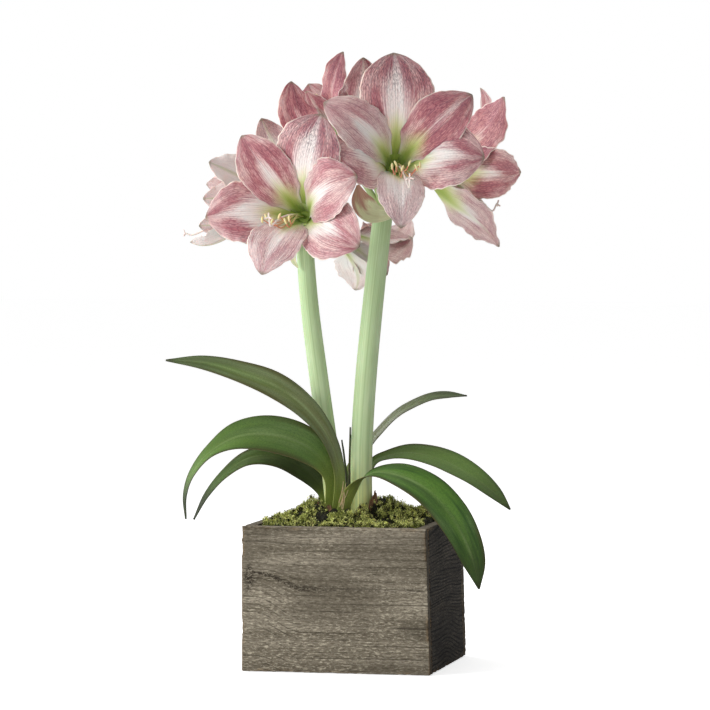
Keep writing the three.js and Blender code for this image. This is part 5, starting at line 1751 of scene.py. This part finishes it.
HALF, TOP, WITHIN = BOX["side"] / 2, BOX["height"], INNER - GAP
worn_wall("board_front", front_wood, (-HALF, -HALF, 0), (HALF, -INNER, TOP), 0, 1)
worn_wall("board_back", front_wood, (-HALF, INNER, 0), (HALF, HALF, TOP), 0, 1)
worn_wall("board_left", shaded_side_wood, (-HALF, -WITHIN, 0), (-INNER, WITHIN, TOP), 0, 0)
worn_wall("board_right", shaded_side_wood, (INNER, -WITHIN, 0), (HALF, WITHIN, TOP), 1, 1)

# %% [markdown]
# ## Camera
#
# The camera stands more than four metres off with a long lens, so the box hardly narrows towards
# the back. It stands to the right of the middle and a little higher than what it aims at, so it
# looks slightly down. Its aim is set by pointing its own -Z axis at a place near the plant's middle.

# %% Camera
CAMERA_AT, CAMERA_AIM = Vector((944, -4331, 495)), Vector((-0.95, -0.21, 326.4))
scene = bpy.context.scene
camera_data = bpy.data.cameras.new("camera")
camera = bpy.data.objects.new("camera", camera_data)
scene.collection.objects.link(camera)
camera.location = CAMERA_AT * MM
camera.rotation_euler = (CAMERA_AIM * MM - camera.location).to_track_quat("-Z", "Y").to_euler()
camera_data.sensor_width = 36
camera_data.lens = 212.96
camera_data.clip_end = 20
scene.camera = camera
print("the camera stands", round(camera.location.length, 2), "m off")

# %% [markdown]
# ## Light
#
# The light is that of a white studio. A white surround gives an even light from everywhere, and
# it is weaker as a light than as a backdrop, so that shadows keep some depth.

# %% The white surround
WHITE = (1.0, 1.0, 1.0, 1.0)
world = bpy.data.worlds.new("white_studio")
scene.world = world
world.use_nodes = True
tree = world.node_tree
lit_by = put(tree, "Background", WHITE, 0.42)
seen = put(tree, "Background", WHITE, 1.0)
either = put(tree, "MixShader", put(tree, "LightPath").outputs["Is Camera Ray"], lit_by, seen)
join(tree, tree.nodes["World Output"].inputs["Surface"], either)
print("surround:", world.name)

# %% [markdown]
# Six large soft lamps model the plant. The key lamp stands high at the front left, with a lamp at
# the left and a low one at the front left to help it. A weak lamp fills from the front right. One
# lamp above and one at the back left draw light edges on leaves and petals. All are square area
# lamps of a metre or so, which makes soft shadows.

# %% The six lamps
def lamp(name, place, aim, size, power):
    data = bpy.data.lights.new(name, "AREA")
    data.size = size
    data.energy = power
    lamp_object = bpy.data.objects.new(name, data)
    scene.collection.objects.link(lamp_object)
    lamp_object.location = place
    lamp_object.rotation_euler = (Vector(aim) - Vector(place)).to_track_quat("-Z", "Y").to_euler()
    print(f"lamp {name}: {power} W")


lamp("key", (-1.9, -1.7, 1.5), (0, 0, 0.3), 0.9, 41)
lamp("fill", (0.9, -3.0, 0.9), (0, 0, 0.4), 1.4, 9)
lamp("top", (-0.2, 0.5, 2.2), (0, 0, 0.3), 1.0, 9)
lamp("back_left", (-1.5, 1.2, 1.6), (0, 0, 0.4), 1.0, 17)
lamp("low", (-1.4, -2.2, 0.25), (0, 0, 0.45), 1.6, 9)
lamp("left", (-2.2, -0.2, 0.7), (-0.05, 0, 0.5), 1.2, 22)

# %% [markdown]
# ## Floor
#
# The floor is a wide sheet of pale matt paint. To the camera it also glows a little, so that it
# runs into the white surround without a visible edge. As light on the box it doesn't glow. It lies
# half a millimetre below the box and isn't a part of the object.

# %% The pale floor
painted, tree, shader = new_material("pale_matt_paint")
dress(painted, tree, shader, {"Base Color": colour("F2F2F2"), "Roughness": 0.9})
glow = put(tree, "Emission", WHITE, 0.62)
lifted = put(tree, "AddShader", shader, glow)
either = put(tree, "MixShader", put(tree, "LightPath").outputs["Is Camera Ray"], shader, lifted)
join(tree, tree.nodes["Material Output"].inputs["Surface"], either)
bpy.ops.mesh.primitive_plane_add(size=30, location=(0, 0, -0.5 * MM))
floor = bpy.context.object
floor.name = "floor"
floor.data.materials.append(painted)
scene.view_settings.view_transform = "Standard"
print("floor:", floor.name)
